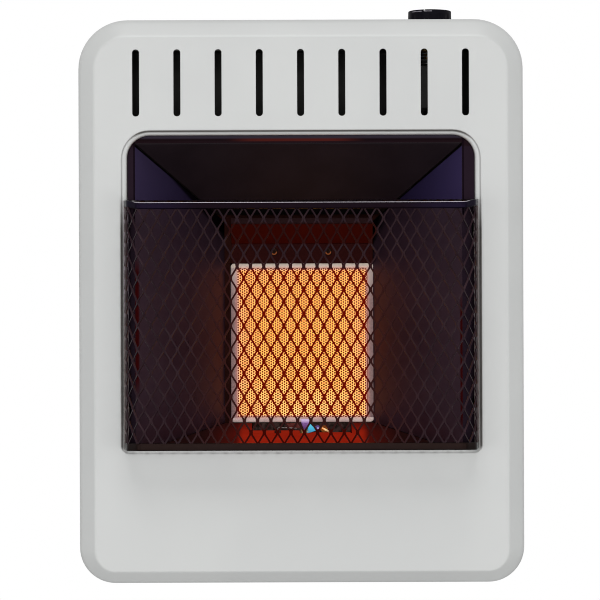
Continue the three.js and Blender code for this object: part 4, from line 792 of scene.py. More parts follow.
def strands(u_range, z_low, z_high, place, start_z=LATTICE_Z, lift=0.3):
    """Expanded metal on a flat sheet. From each knuckle (i + j even) one strand climbs to the right and
    one to the left; along it u follows a stretched S between the two knuckles and the sheet's two faces
    change places. A strand is cut where it meets the sheet's edges."""
    step_x, step_z = PITCH_X / 2, PITCH_Z / 2
    i, j = (a.ravel() for a in np.meshgrid(np.arange(-60, 61), np.arange(-40, 41), indexing="ij"))
    i, j = i[(i + j) % 2 == 0], j[(i + j) % 2 == 0]
    side = np.repeat([1.0, -1.0], len(i))
    u0 = np.tile(LATTICE_X + i * step_x, 2)
    z0 = np.tile(start_z + j * step_z, 2)
    reach = np.where(side > 0, (u_range[1] - u0) / step_x, (u0 - u_range[0]) / step_x)
    enter = np.where(side > 0, (u_range[0] - u0) / step_x, (u0 - u_range[1]) / step_x)
    first = np.maximum(np.clip((z_low(u0) - z0) / step_z, 0, 1), np.clip(enter, 0, 1))
    last = np.minimum(np.clip((z_high(u0) - z0) / step_z, 0, 1), np.clip(reach, 0, 1))
    keep = last - first > 0.06
    side, u0, z0, first, last = (a[keep] for a in (side, u0, z0, first, last))
    t = first[:, None] + (last - first)[:, None] * np.array([0.0, 0.17, 0.83, 1.0])
    s = np.clip((t - 0.12) / 0.76, 0, 1)
    gap = STRAND / 2
    u = u0[:, None] + side[:, None] * (gap * 0.5 + (step_x - gap) * s)
    z = z0[:, None] + t * step_z
    out = lift * (1 - 2 * t)
    lean = math.radians(24) * side[:, None, None]
    du = np.array([-1, 1, 1, -1]) * STRAND / 2
    dn = np.array([-1, -1, 1, 1]) * SHEET / 2
    across = du * np.cos(lean) - dn * np.sin(lean)
    through = du * np.sin(lean) + dn * np.cos(lean)
    points = place(u[..., None] + across, z[..., None], out[..., None] + through)
    one = np.concatenate([quads(4, 4, around=True), [[3, 2, 1, 0], [12, 13, 14, 15]]])
    faces = (one[None] + 16 * np.arange(len(u0))[:, None, None]).reshape(-1, 4)
    print("strands", len(u0))
    return points.reshape(-1, 3), faces


print("strand", STRAND, "by", SHEET, "pitch", PITCH_X, "by", PITCH_Z)

# %% [markdown]
# The wrap of the tray lies along the path. The lid and the floor are flat sheets of the same metal,
# whose strands are cut off along the tray's slanted sides, and they follow the lean of its top and
# bottom.


# %% Mesh of the tray
def flat_lattice(edge, out_sign, name, node):
    """The top or bottom of the tray: u is x, and the sheet's other coordinate runs along the depth."""
    def place(u, w, out):
        return columns(u, -w, edge(w) + out_sign * (out - 0.9))
    low = lambda u: np.full(np.shape(u), 167.6)
    high = lambda u: np.full(np.shape(u), 207.0)
    points, faces = strands((-165.0, 165.0), low, high, place, start_z=190.0)
    limit = half_width(-points[:, 1]) - 2.2
    points[:, 0] = np.clip(points[:, 0], -limit, limit)
    piece(name, points, faces, guard_finish, body="guard", slot="guard", angle=30, stands_for=[node])


wrap = strands(ends, lambda u: strip_bottom(depth_of(u)) - 3.2,
               lambda u: strip_top(depth_of(u)) + 3.0, folded)
piece("guard_wrap_mesh", *wrap, guard_finish, body="guard", slot="guard", angle=30,
      stands_for=["guard_front_mesh", "guard_left_mesh", "guard_right_mesh"])
flat_lattice(tray_top, 1, "guard_lid_mesh", "guard_top_mesh")
flat_lattice(tray_low, -1, "guard_floor_mesh", "guard_bottom_mesh")

# %% [markdown]
# The hems and rails are dark, sooty steel. Along the crest of the top hem the finish turns to bright metal, a
# painted highlight, read from a number that the points along it carry. The hems are bluer towards their ends
# and the bottom one warmer, and the left rail is lighter from its middle upwards. The two side rails keep
# their CAD shape.

# %% Finishes of the hems and rails
hem_finish = Finish("guard_hem", roughness=0.34, metallic=1.0)
# Painted highlight: a bright metal colour along the crest of the top hem.
crest_highlight = hem_finish.attribute("crest")
hem_grain = hem_finish.noise(150, 3.0)
hem_x, _, hem_z = hem_finish.axes()
hem_finish.paint(
    (0.0036, 0.0020, 0.0032), (hem_grain, (0.0066, 0.0036, 0.0058)),
    ((abs(hem_x) - 90.0).step(0.0, 50.0), (0.0066, 0.0044, 0.0110)),
    ((-hem_z).step(0.0, 10.0), (0.0105, 0.0062, 0.0056)), (crest_highlight.step(0.3, 0.7), (0.46, 0.43, 0.47)))
hem_finish.gloss(0.30 + 0.12 * hem_grain)

rail_finish = Finish("guard_rail", roughness=0.36, metallic=1.0)
rail_grain = rail_finish.noise(150, 3.0)
rail_x, _, rail_z = rail_finish.axes()
# The left rail is lighter from its middle upwards.
upper_left = rail_x.fall(-10.0, 10.0) * (rail_z + 50.0).step(0.0, 60.0)
rail_tone = rail_finish.blend(upper_left, (0.100, 0.084, 0.082), (0.150, 0.128, 0.150))
rail_finish.paint((0.040, 0.030, 0.032), (rail_grain, rail_tone))
rail_finish.gloss(0.30 + 0.12 * rail_grain)
dress(rail_finish, "guard_left_rail", "guard_right_rail")

# %% [markdown]
# The hems are strips folded over the edge of the mesh. Each is a flat oval carried round the tray's
# path, so its folded edge is round.


# %% Hems of the guard
def hem(z_low_at, z_high_at, name, node, rear=167.2, thick=2.3, r=1.05):
    """A flat oval section, thick across the sheet and as tall as the strip, carried round the tray's
    path. Its four corners have the radius r."""
    run, xs, depths = tray_path(rear)
    u = np.unique(np.concatenate([run, np.linspace(run[0], run[-1], 60)]))
    turn = np.linspace(0, math.pi / 2, 5)
    section = np.concatenate([
        columns(side * (thick / 2 - r) + r * np.cos(a + turn), end, r * np.sin(a + turn))
        for side, end, a in ((1, -1, -math.pi / 2), (1, 1, 0.0), (-1, 1, math.pi / 2), (-1, -1, math.pi))])
    depth = np.interp(u, run, depths)
    low, high = z_low_at(depth)[:, None], z_high_at(depth)[:, None]
    middle, half = (low + high) / 2, (high - low) / 2
    z = middle + section[:, 1] * (half - r) + section[:, 2]
    points = folded(u[:, None], z, section[:, 0])
    obj = piece(name, points.reshape(-1, 3), capped(*z.shape), hem_finish, body="guard", slot="guard",
                stands_for=[node], angle=60)
    mark(obj, "crest", np.clip(((z - middle) / half - 0.68) / 0.32, 0, 1) * (z > 0) * (depth > 200)[:, None])


hem(strip_top, tray_top, "guard_top_hem", "guard_top_rail")
hem(tray_low, strip_bottom, "guard_bottom_hem", "guard_bottom_rail")

# %% [markdown]
# ## The tile
# The burner is a ceramic tile with thousands of small holes; gas burns just inside them and the tile
# glows. The glow is hottest low down and a little redder at the edge, and the floors of the holes stay
# dark.


# %% Glowing ceramic
def beyond_tile(x, z):
    """How far a place is outside the tile's outline, in millimetres; inside it is negative."""
    return (abs(x - TILE_X) - TILE_HALF_X) | (abs(z - TILE_Z) - TILE_HALF_Z)


glow = Finish("glowing_ceramic", roughness=0.9, Emission_Strength=1.0)
glow.material.cycles.emission_sampling = "AUTO"
gx, gy, gz = glow.axes()
hole = (-gy).step(65.5, 65.9)
mottle = glow.noise(70, 3.0)
across = abs(gx - TILE_X) / TILE_HALF_X
upward = (gz - TILE_Z + TILE_HALF_Z) / (2 * TILE_HALF_Z)
edge = across.step(0.55, 1.02) | (abs(upward - 0.5) * 2.0).step(0.7, 1.02)
low_corners = (1.0 - upward).step(0.84, 0.93) * across.step(0.25, 0.75)
heat = glow.layered(
    (1.66, 0.70, 0.155), (edge, (1.56, 0.63, 0.245)), ((1.0 - upward).step(0.70, 1.0), (1.80, 0.92, 0.29)),
    (mottle.step(0.25, 0.75) * 0.5, (1.56, 0.55, 0.088)), (upward.step(0.55, 1.0) * 0.5, (1.36, 0.54, 0.130)),
    (low_corners * 0.5, (1.20, 0.46, 0.130)),
    ((beyond_tile(gx, gz) + 3.4).step(0.0, 2.6), (0.92, 0.54, 0.40)))
glow.shine((0.13, 0.011, 0.0), (hole, heat))
glow.paint((0.004, 0.001, 0.001), (hole, (0.06, 0.03, 0.02)))
print("glow", glow.material.name)

# %% [markdown]
# Holes could be painted on, but then the edges of the holes would not shine brighter than their floors.
# So each hole is a cell of a hexagonal lattice: a hexagon, a six-sided rim, a short wall and a floor,
# computed for all cells at once. Neighbouring cells share their corners.

# %% Perforated face of the tile
HOLE_PITCH, HOLE_RADIUS, HOLE_DEPTH = 2.556, 1.04, 2.6
HOLE_START = (-23.88, 1.44)


def perforated():
    """Cells of pitch p on a hexagonal lattice (columns p * sqrt(3) / 2 apart, every other column moved
    by p / 2): six corners at p / sqrt(3), a rim of six points, and six points at the hole's floor."""
    p = HOLE_PITCH
    count = np.arange(-40, 41)
    row, col = (a.ravel() for a in np.meshgrid(count, count, indexing="ij"))
    start_x, start_z = HOLE_START[0] - TILE_X, HOLE_START[1] - TILE_Z
    cx = start_x + col * p * math.sqrt(3) / 2
    cz = start_z + (row + 0.5 * (col % 2)) * p - round(start_z / p) * p
    inside = (abs(cx) < TILE_HALF_X - p / 2) & (abs(cz) < TILE_HALF_Z - p / 2)
    cx, cz = cx[inside], cz[inside]
    angle = circle(6)
    rings = []
    for radius, behind in ((p / math.sqrt(3), 0.25), (HOLE_RADIUS, 0.25), (HOLE_RADIUS * 0.94, HOLE_DEPTH)):
        rings.append(columns(TILE_X + cx[:, None] + radius * np.cos(angle), behind - TILE_FRONT,
                             TILE_Z + cz[:, None] + radius * np.sin(angle)))
    start = 18 * np.arange(len(cx))
    faces = (quads(3, 6, around=True)[None] + start[:, None, None]).reshape(-1, 4)
    floors = 12 + np.arange(6)[None] + start[:, None]
    print("holes", len(cx))
    return np.stack(rings, axis=1).reshape(-1, 3), faces.tolist() + floors.tolist()


def shared_corners(points, faces):
    """Corners that lie on each other become one: places are rounded to a hundredth and made unique."""
    _, first, number = np.unique(np.round(points, 2), axis=0, return_index=True, return_inverse=True)
    number = number.ravel()
    return points[first], [[int(number[i]) for i in f] for f in faces]


piece("ceramic_tile_face", *shared_corners(*perforated()), glow, slot="ceramic", stands_for=["ceramic_tile"],
      closed=False, angle=20)

# %% [markdown]
# The body of the tile behind the perforated face is a tray-shaped block: a stack of rectangles from its
# back to a rim, and down again to just behind the floor of the holes, with both ends closed.


# %% Body of the tile
def round_tile(grow_x, grow_z, radius, depth, steps=3, straight=1):
    """The tile's outline at a depth, grown or shrunk by a little on its sides and on its ends."""
    half_x, half_z = TILE_HALF_X + grow_x, TILE_HALF_Z + grow_z
    return at_depth(rounded(TILE_X - half_x, TILE_X + half_x, TILE_Z - half_z, TILE_Z + half_z,
                            radius, radius, steps, straight), depth)


block = [round_tile(grow_x, grow_z, 0.6, depth) for grow_x, grow_z, depth in (
    (-0.1, -0.1, 54.4), (0, 0, 54.8), (0, 0, 65.5), (-2.2, -2.1, 65.5), (-2.3, -2.2, 63.3))]
piece("ceramic_tile_body", np.concatenate(block), capped(len(block), len(block[0])), glow, slot="ceramic",
      stands_for=["ceramic_tile"], angle=30)

# %% [markdown]
# The tile sits in a frame of ceramic fibre paper, which seals it against the sheet of the burner. Fibre paper
# is soft and a little uneven, so the frame is a round-edged ring whose height wavers by a few tenths, with a
# matted relief and darker scorched places near the pilot. It is lighter towards the top and along its upper
# strip. The light of the tile on it is painted: a little emission near the tile, and along the bottom strip a
# whiter base colour and a brighter emission.

# %% Fibre gasket
fibre = Finish("fibre_paper", roughness=0.95, Emission_Strength=1.0)
mat = fibre.noise(420, 4.0, 0.6)
stain = fibre.noise(55, 3.0)
fx, _, fz = fibre.axes()
scorch = (-fz - 108.0).step(0.0, 10.0) * stain.step(0.3, 0.75)
low_strip = (-fz - 117.2).step(0.0, 0.6)
fibre.paint(
    (0.27, 0.168, 0.158), (mat.step(0.3, 0.7), (0.37, 0.240, 0.230)),
    ((fz + 4.0).step(0.0, 34.0) * 0.8, (0.56, 0.46, 0.42)),
    ((fz - 33.4).step(0.0, 0.6), (0.72, 0.62, 0.52)), (low_strip, (0.82, 0.68, 0.62)),
    (scorch * 0.7, (0.33, 0.22, 0.27)))
# Painted light of the tile on the gasket, brightest along the bottom strip.
painted_rim_light = fibre.blend(low_strip, (0.026, 0.018, 0.019), (0.165, 0.130, 0.120))
fibre.shine((0.17, 0.055, 0.045), (beyond_tile(fx, fz).step(0.0, 3.4), painted_rim_light))
fibre.bump(mat, 0.6, 0.0006)


def gasket():
    """A closed ring: share 0 is the tile's edge and 1 the gasket's outer edge. Its front is a low round
    ridge, whose height wavers with the sum of three sines of the place round the ring."""
    section = [(-0.05, 65.6), (-0.04, 66.45), (0.03, 66.9), (0.2, 67.25), (0.4, 67.35), (0.65, 67.25),
               (0.85, 66.95), (0.97, 66.4), (1.0, 65.6), (1.0, 54.0)]
    rings = []
    for share, height in section:
        points = round_tile(6.0 * share, 4.7 * share, 2.0 + 1.6 * share, height, 6, 40)
        place = circle(len(points))
        waver = 0.14 * np.sin(23 * place + 5 * share) + 0.10 * np.sin(41 * place + 1.0)
        waver += 0.08 * np.sin(67 * place)
        ragged = 0.25 * np.sin(31 * place + 2.0) * (share < 0)
        off = points[:, 0] - TILE_X
        points[:, 1] -= waver * (height > 66)
        points[:, 0] -= ragged * np.sign(off) * (abs(off) > 60)
        rings.append(points)
    inner = rings[0].copy()
    inner[:, 1] = -54.0
    rings = [inner] + rings
    return np.concatenate(rings), quads(len(rings), len(inner), around=True, along=True)


piece("fibre_gasket", *gasket(), fibre, slot="fibre", stands_for=["burner_gasket"], angle=60)

# %% [markdown]
# ## Heated sheet metal
# The reflectors are bright sheet that the glow has coloured: straw, purple and blue bands that follow how hot
# the metal gets, over soot. The colour comes from the distance to the tile and a slow noise, and its red end
# nearest the tile is painted red light of the glow. The cheeks beside the hood are bluer, and dark seams
# follow the mitred joints, whose places are lines in x and z. The upper inner corners carry a painted shadow,
# and the outer edges painted red light.

# %% Reflector finish
reflector = Finish("heat_tinted_sheet", roughness=0.3, metallic=1.0)
rx, _, rz = reflector.axes()
slow = reflector.noise(14, 3.0)
fine = reflector.noise(160, 3.0, 0.6, (1.0, 1.0, 0.25))
away = (abs(rx - TILE_X) / 150.0 + abs(rz - TILE_Z) / 210.0 + slow * 0.5) / 1.6
# Heat tint over soot, with painted red light of the glow at the end nearest the tile.
tint_and_red_light = reflector.ramp(away, (0.0, (0.125, 0.040, 0.042)), (0.35, (0.074, 0.033, 0.044)),
                        (0.55, (0.062, 0.036, 0.052)), (0.8, (0.074, 0.046, 0.064)),
                        (1.0, (0.074, 0.046, 0.064)))
cheek = (rz - 92.0).step(0.0, 8.0) * (0.85 + 0.3 * fine)
cheek_tint = reflector.blend(rx.step(-10.0, 10.0), (0.050, 0.036, 0.084), (0.047, 0.034, 0.100))
seam = abs(rx + 2.4) - 74.9 - (rz - 80.5) * 1.182
seam_shade = seam.fall(0.8, 1.9) * (rz - 82.0).step(0.0, 3.0)
# Painted shadow in the upper inner corners of both reflectors.
left_corner_shadow = (rx + 104.0 - (93.0 - rz) * 0.9).step(0.0, 4.0) * rx.fall(-30.0, -20.0)
right_corner_shadow = (86.0 - (93.0 - rz) * 0.45 - rx).step(0.0, 4.0) * rx.step(20.0, 30.0)
corner = (left_corner_shadow | right_corner_shadow) * (rz - 58.0).step(0.0, 4.0)
# Painted red light of the glow along the reflectors' outer edges.
left_edge_red_light = abs(rx + 160.6).fall(1.4, 3.4) * abs(rz + 24.0).fall(48.0, 74.0)
right_edge_red_light = abs(rx - 156.4).fall(0.8, 2.2) * abs(rz + 62.0).fall(48.0, 74.0)
reflector.paint(
    tint_and_red_light, (cheek, cheek_tint), (seam_shade | corner * 0.93, (0.003, 0.002, 0.002)),
    (left_edge_red_light | right_edge_red_light, (0.068, 0.004, 0.005)))
reflector.gloss(0.22 + 0.12 * fine + 0.05 * slow)
reflector.bump(slow, 0.25, 0.0012)
dress(reflector, "left_reflector", "right_reflector")

# %% [markdown]
# The hood is covered in soot and hardly shines. The floor lies right under the tile, and what it mirrors is a
# deep red, brightest near its front edge and below the tile: soot and scale scatter that light, so it is
# given as an emission of its own over a dark metal. The frame's strips are blued, and their upper one is
# three bands: a dark one below, then one with a painted red glow of the tile in its middle, and a lighter one
# on top.

# %% Hood, floor and frame
hood = Finish("sooted_hood", roughness=0.55, Specular_IOR_Level=0.1)
hx, _, hz = hood.axes()
hood_soot = hood.noise(30, 3.0)
hood_seam = abs(hx + 2.4) - 81.7 - (hz - 87.0) * 1.169
hood_shade = (hood_seam + 1.3).step(0.0, 0.8) | (hz - 97.0).fall(0.0, 5.0)
hood.paint((0.0084, 0.0050, 0.0072), (hood_soot.step(0.3, 0.7), (0.0118, 0.0072, 0.0100)),
           (hood_shade, (0.001, 0.0006, 0.0006)))
dress(hood, "hood_reflector")

red_floor = Finish("red_lit_floor", roughness=0.4, metallic=1.0, Emission_Strength=1.0,
                   Specular_Tint=(0.5, 0.12, 0.08))
qx, _, qz = red_floor.axes()
off_centre = abs(qx - 1.0)
lit_floor = off_centre.fall(58.0, 68.0) | 0.16 * off_centre.fall(66.0, 100.0)
lit_floor = lit_floor * (0.32 + 0.68 * (-qz - 123.5).step(0.0, 9.0))
scattered = red_floor.blend(red_floor.noise(90, 3.0), (0.130, 0.0060, 0.0022), (0.270, 0.0160, 0.0050))
red_floor.paint((0.060, 0.024, 0.022), (lit_floor, (0.060, 0.006, 0.003)))
red_floor.shine((0.006, 0.002, 0.002), (lit_floor, scattered))
dress(red_floor, "floor_reflector")

frame_finish = Finish("blued_strip", roughness=0.3, metallic=1.0)
frame_noise = frame_finish.noise(120, 3.0)
vx, _, vz = frame_finish.axes()
on_top = (vz - 150.0).step(0.0, 1.0)
# Painted red glow of the tile in the middle of the frame's upper strip.
painted_red_glow = frame_finish.blend((abs(vx + 5.0) / 62.0).fall(0.55, 1.15), (0.0042, 0.0020, 0.0026),
                              (0.027, 0.0046, 0.0036))
joint = abs(abs(vx + 2.2) - 160.2).fall(0.4, 0.9) * (vz - 80.0).step(0.0, 1.0)
frame_finish.paint(
    (0.0066, 0.0038, 0.0062), (frame_noise, (0.0092, 0.0055, 0.0088)),
    (on_top, (0.0125, 0.0100, 0.0145)), (on_top * (vz - 157.4).fall(0.0, 2.0), painted_red_glow),
    (on_top * (vz - 155.4).fall(0.0, 0.5), (0.0060, 0.0030, 0.0040)), (joint, (0.002, 0.001, 0.002)))
frame_finish.gloss(0.26 + 0.1 * frame_noise)
dress(frame_finish, "firebox_frame")

# %% [markdown]
# Round the tile the sheet is aluminised steel, dulled by the flame. The pilot's bracket is stained, and its
# lower edge and a patch above it carry painted red light of the floor, in the base colour and as emission.
# The deflector's slope looks down on the tile, so it carries painted red light, and its front lip looks away
# from it.

# %% Burner sheet, deflector and pilot bracket
burner_sheet = Finish("burner_sheet", roughness=0.45, metallic=1.0)
tarnish = burner_sheet.noise(90, 4.0)
burner_sheet.paint((0.0080, 0.0022, 0.0018), (tarnish.step(0.3, 0.7), (0.0140, 0.0042, 0.0032)))
burner_sheet.gloss(0.36 + 0.2 * tarnish)
dress(burner_sheet, "burner_plate", "burner_box", "mixing_tube")

bracket = Finish("pilot_bracket_sheet", roughness=0.6, metallic=1.0, Emission_Strength=1.0)
tx, _, tz = bracket.axes()
stained = bracket.noise(190, 3.0).step(0.36, 0.64)
edge_z = -131.3 + 2.0 * tx.fall(-4.0, 2.0)
# Painted red light of the floor on the bracket's lower edge and on a patch above it, as base colour and
# emission.
red_lit_edge = (edge_z - tz).step(0.0, 0.8)
beside = abs(tx + 8.5).fall(6.5, 8.0) * (tz + 127.5).step(0.0, 0.8)
bracket.paint((0.013, 0.0080, 0.0060), (stained, (0.058, 0.034, 0.031)), (red_lit_edge, (0.010, 0.001, 0.001)))
bracket.shine((0.0, 0.0, 0.0), (beside, (0.050, 0.003, 0.002)), (red_lit_edge, (0.240, 0.0120, 0.0036)))
dress(bracket, "pilot_bracket")

deflector = Finish("deflector_sheet", roughness=0.35, metallic=1.0)
brushed = deflector.noise(300, 3.0, 0.6, (0.1, 1.0, 1.0))
dz = deflector.axes()[2]
# Painted red light of the tile on the slope that looks down on it.
deflector.paint((0.012, 0.0026, 0.0024), ((dz - 57.5).step(0.0, 1.0), (0.068, 0.0062, 0.0028)),
                ((dz - 76.5).step(0.0, 1.5), (0.0115, 0.0050, 0.0054)))
deflector.gloss(0.30 + 0.15 * brushed)
dress(deflector, "top_deflector")

# %% [markdown]
# ## Cabinet
# The cabinet behind the panel is folded from thin sheet. Outside it has the panel's paint, and inside it is
# bare sooty sheet, made near black as painted shade, which is why the slots look black. One finish does both:
# a mask from the place tells the outer faces from the inner ones. The wall bracket is galvanised: its spangle
# is a Voronoi cell pattern.

# %% Cabinet finish
case = Finish("cabinet_paint", roughness=0.45)
cx, cy, cz = case.axes()
outer = (abs(cx) - 199.1).step(0.0, 0.2) | (abs(cz) - 257.5).step(0.0, 0.2) | (cy + 0.6).step(0.0, 0.3)
case_noise = case.noise(18, 3.0)
case_peel = case.noise(520, 2.0)
paint = case.blend(case_noise.step(0.3, 0.7), (0.540, 0.550, 0.545), (0.580, 0.590, 0.582))
# Inside: bare sheet made near black as painted shade.
shaded_inside = case.blend(case_noise, (0.026, 0.024, 0.021), (0.046, 0.043, 0.038))
case.paint(shaded_inside, (outer, paint))
case.gloss(0.6 - 0.2 * outer + 0.04 * case_peel)
case.bump(case_peel, 0.08, 0.0002)
dress(case, "cabinet_back", "cabinet_left_side", "cabinet_right_side", "cabinet_top", "cabinet_base")

galvanised = Finish("galvanised_sheet", roughness=0.42, metallic=0.95)
spangle = galvanised.node("ShaderNodeTexVoronoi", {"feature": "F1", "distance": "EUCLIDEAN"},
                          {"Vector": galvanised.object_place(), "Scale": 160.0})
parts = galvanised.node("ShaderNodeSeparateXYZ", None, {0: spangle.outputs["Color"]})
flake = Signal(galvanised, parts.outputs[0])
galvanised.paint((0.42, 0.44, 0.46), (flake, (0.60, 0.62, 0.63)))
galvanised.gloss(0.34 + 0.16 * flake)
dress(galvanised, "wall_bracket", "injector_bracket")

# %% [markdown]
# ## Knob
# The knob is black, lightly grained plastic. Two rows of plain dashes are printed round its rim, in a
# band of height on the front half, and its pointer is painted white.

# %% Knob finish
knob_low, knob_high = box_of("control_knob")
KNOB_X, KNOB_DEPTH = (knob_low[0] + knob_high[0]) / 2, -(knob_low[1] + knob_high[1]) / 2
KNOB_LOW, KNOB_HEIGHT, KNOB_RADIUS = knob_low[2], knob_high[2] - knob_low[2], (knob_high[0] - knob_low[0]) / 2
DASH_LEVEL = 286.6

black = Finish("black_moulding", roughness=0.5, Specular_IOR_Level=0.05)
pebble = black.noise(900, 2.0)
sheen = black.noise(40, 3.0)
black.gloss(0.46 + 0.12 * pebble)
black.bump(pebble, 0.12, 0.00012)
kx, ky, kz = black.axes()
run = kx - KNOB_X
arcs = ((run + 18.4).step(0.0, 0.5) * (run + 9.0).fall(0.0, 0.5)) | (
    (run + 6.9).step(0.0, 0.5) * (run - 0.9).fall(0.0, 0.5))
band = abs(kz - DASH_LEVEL).fall(0.28, 0.5) * (-ky - KNOB_DEPTH).step(0.0, 1.0)
dashes = (run * 0.85).math("FRACT").step(0.2, 0.3) * band
black.paint((0.0032, 0.0032, 0.0056), (sheen.step(0.35, 0.65), (0.0060, 0.0058, 0.0088)),
            (arcs * dashes, (0.30, 0.29, 0.32)))
marking = Finish("pointer_paint", roughness=0.5)
marking.paint((0.78, 0.78, 0.76), (marking.noise(700, 3.0).step(0.3, 0.8), (0.86, 0.86, 0.85)))
print("knob at", round(KNOB_X, 2), round(KNOB_DEPTH, 2), "radius", round(KNOB_RADIUS, 2))

# %% [markdown]
# The cap has fourteen shallow grip flutes, a bevelled rim and a slightly crowned top. It is one surface
# of revolution whose radius also depends on the angle: flutes are scooped out of the wall by a power of
# a sine, and fade out towards the rim and the bottom edge. Inside it is hollow, with a hub for the stem.


# %% Knob cap
def knob_surface():
    """The profile's radius less 0.8 mm * |sin(7 a)| ** 4 * window, for the angle a round the axis."""
    radius, top = KNOB_RADIUS, KNOB_HEIGHT
    up = top - 29.5
    bore = [(0.6, 20.3 + up), (3.4, 20.0 + up), (3.4, 0.4)]
    inner = [(6.5, 0.4), (6.5, 24.2 + up), (radius - 3.4, 24.4 + up), (radius - 2.2, 22.0 + up),
             (radius - 2.0, 0.4)]
    wall = np.array([13, 16, 19, 22, 24.0, 25.4, 26.6, 27.5]) + up
    profile = np.concatenate([
        bore, inner,
        [(radius - 1.4, 0.0)], bent((radius - 0.5, 0), (radius, 0), (radius, 0.6), 4),
        [(radius - 0.05, h) for h in (1.6, 2.6, 3.6, 4.8, 7)],
        [(radius - 0.05 - 0.40 * h / top, h) for h in wall],
        bent((radius - 0.45, 28.1 + up), (radius - 0.5, 28.75 + up), (radius - 1.1, 28.95 + up), 6),
        bent((radius - 2.0, 29.06 + up), (radius - 3.0, 29.2 + up), (radius - 4.4, 29.24 + up), 5),
        [(r, top - 0.17 - 0.1 * (r / 18.2) ** 2) for r in (14, 11, 8, 5, 2.5, 0.6)]])
    angle = circle(224)
    r, h = profile[:, :1], profile[:, 1:]
    window = smooth((h - 1.6) / 3.0) * smooth((25.5 + up - h) / 3.4) * (r > radius - 1.0)
    r = r - 0.8 * np.abs(np.sin(7 * angle)) ** 4 * window
    points = columns(KNOB_X + r * np.cos(angle), -KNOB_DEPTH + r * np.sin(angle), KNOB_LOW + h)
    return points.reshape(-1, 3), capped(*r.shape)


piece("control_knob_cap", *knob_surface(), black, body="knob", slot="black_plastic",
      stands_for=["control_knob"], angle=45)

# %% [markdown]
# The pointer is a bar moulded on the cap and painted white. Its section follows a path over the top and
# a little way down over the rim, and the knob stands turned by 16.8 degrees from straight ahead.


# %% Knob pointer
def knob_pointer(turn=math.radians(16.8)):
    """A raised bar, 1.7 mm wide, carried along the top and a little way down over the rim."""
    rim = KNOB_RADIUS
    path = np.concatenate([[(5.0, -0.02), (8, -0.04), (11, -0.06), (14, -0.08), (rim - 3.4, -0.12)],
                           bent((rim - 2.4, -0.12), (rim - 0.6, -0.3), (rim - 0.35, -1.6), 8)])
    path[:, 1] += KNOB_HEIGHT - 0.14
    tangent = unit(np.gradient(path, axis=0))
    section = np.array([(-0.85, -0.65), (-0.85, 0.01), (-0.7, 0.15),
                        (0.7, 0.15), (0.85, 0.01), (0.85, -0.65)])
    r = path[:, :1] - tangent[:, 1:] * section[:, 1]
    h = path[:, 1:] + tangent[:, :1] * section[:, 1]
    w = section[:, 0]
    points = columns(KNOB_X - r * math.sin(turn) + w * math.cos(turn),
                     -KNOB_DEPTH - r * math.cos(turn) - w * math.sin(turn), KNOB_LOW + h)
    return points.reshape(-1, 3), capped(*r.shape)


piece("control_knob_pointer", *knob_pointer(), marking, body="knob", slot="black_plastic", angle=50)

# %% [markdown]
# ## Screws
# The two screws of the deflector are scorched, and the lower rim of each catches the light of the tile.
# The four of the panel's ears are zinc plated.

# %% Screw finishes
HEAD_X, HEAD_Z = 27.3, 49.6
zinc = grained("screw_zinc", (300, 3.0), (0.42, 0.43, 0.42), (0.58, 0.58, 0.56), (0.32, 0.2),
               metallic=0.95)
scorched = grained("scorched_screw", (300, 3.0), (0.010, 0.003, 0.002), (0.022, 0.008, 0.005),
                   metallic=0.9, Emission_Strength=1.0)
ux, _, uz = scorched.axes()
off_x, off_z = abs(ux) - HEAD_X, uz - HEAD_Z
rim_light = abs(off_x * off_x + off_z * off_z - 6.5).fall(0.5, 4.5) * off_z.fall(-0.6, 0.8)
scorched.shine((0.0, 0.0, 0.0), (rim_light, (0.210, 0.055, 0.016)))
print("screw heads at", HEAD_X, HEAD_Z)

# %% [markdown]
# All six are pan heads with a cross recess. A head is a disc of rings: its height is a dome, less a
# cross-shaped hollow that is deepest in the middle.


# %% Screw heads
def screw_head(radius, height):
    """Height h(r) = H * sqrt(1 - (r / R)^2 * 0.85) less a cross of two bars, deepest in the middle."""
    rings = np.concatenate([[0.05], np.linspace(0.25, 0.62 * radius, 9), np.linspace(0.7, 0.97, 5) * radius,
                            [radius]])
    angle = circle(48)
    r = rings[:, None]
    dome = height * np.sqrt(np.clip(1 - 0.85 * (r / radius) ** 2, 0, 1))
    x, y = r * np.cos(angle), r * np.sin(angle)
    bar = np.minimum(abs(x), abs(y))
    cross = smooth((0.62 - bar) / 0.25) * smooth((0.62 * radius - r) / 0.3)
    out = dome - 0.75 * height * cross * (1 - 0.6 * r / radius)
    skirt = np.array([0.15, -0.2])[:, None] + 0 * angle
    x, y = (np.concatenate([a, a[-1:], a[-1:] * 0.9]) for a in (x, y))
    return x, y, np.concatenate([out, skirt])


def place_screw(name, node, at, direction, finish, radius=3.6, height=2.0):
    """Sets a head with its seat at `at` (x, depth, z), looking along a direction of the object's frame.
    The shank behind the head is a plain rod."""
    x, y, out = screw_head(radius, height)
    normal, side = np.array(direction, float), np.array([0.0, 0.0, 1.0])
    across = np.cross(side, normal)
    base = np.array([at[0], -at[1], at[2]])
    head = base + x[..., None] * across + y[..., None] * side + out[..., None] * normal
    turn = circle(16)[None, :, None]
    run = np.array([-0.1, -5.4, -6.0])[:, None, None]
    thick = np.array([1.7, 1.7, 1.1])[:, None, None]
    rod = base + thick * (np.cos(turn) * across + np.sin(turn) * side) + run * normal
    both = joined((head.reshape(-1, 3), capped(*x.shape)), (rod.reshape(-1, 3), capped(3, 16)))
    piece(name, *both, finish, slot="steel", stands_for=[node], closed=False, angle=35)


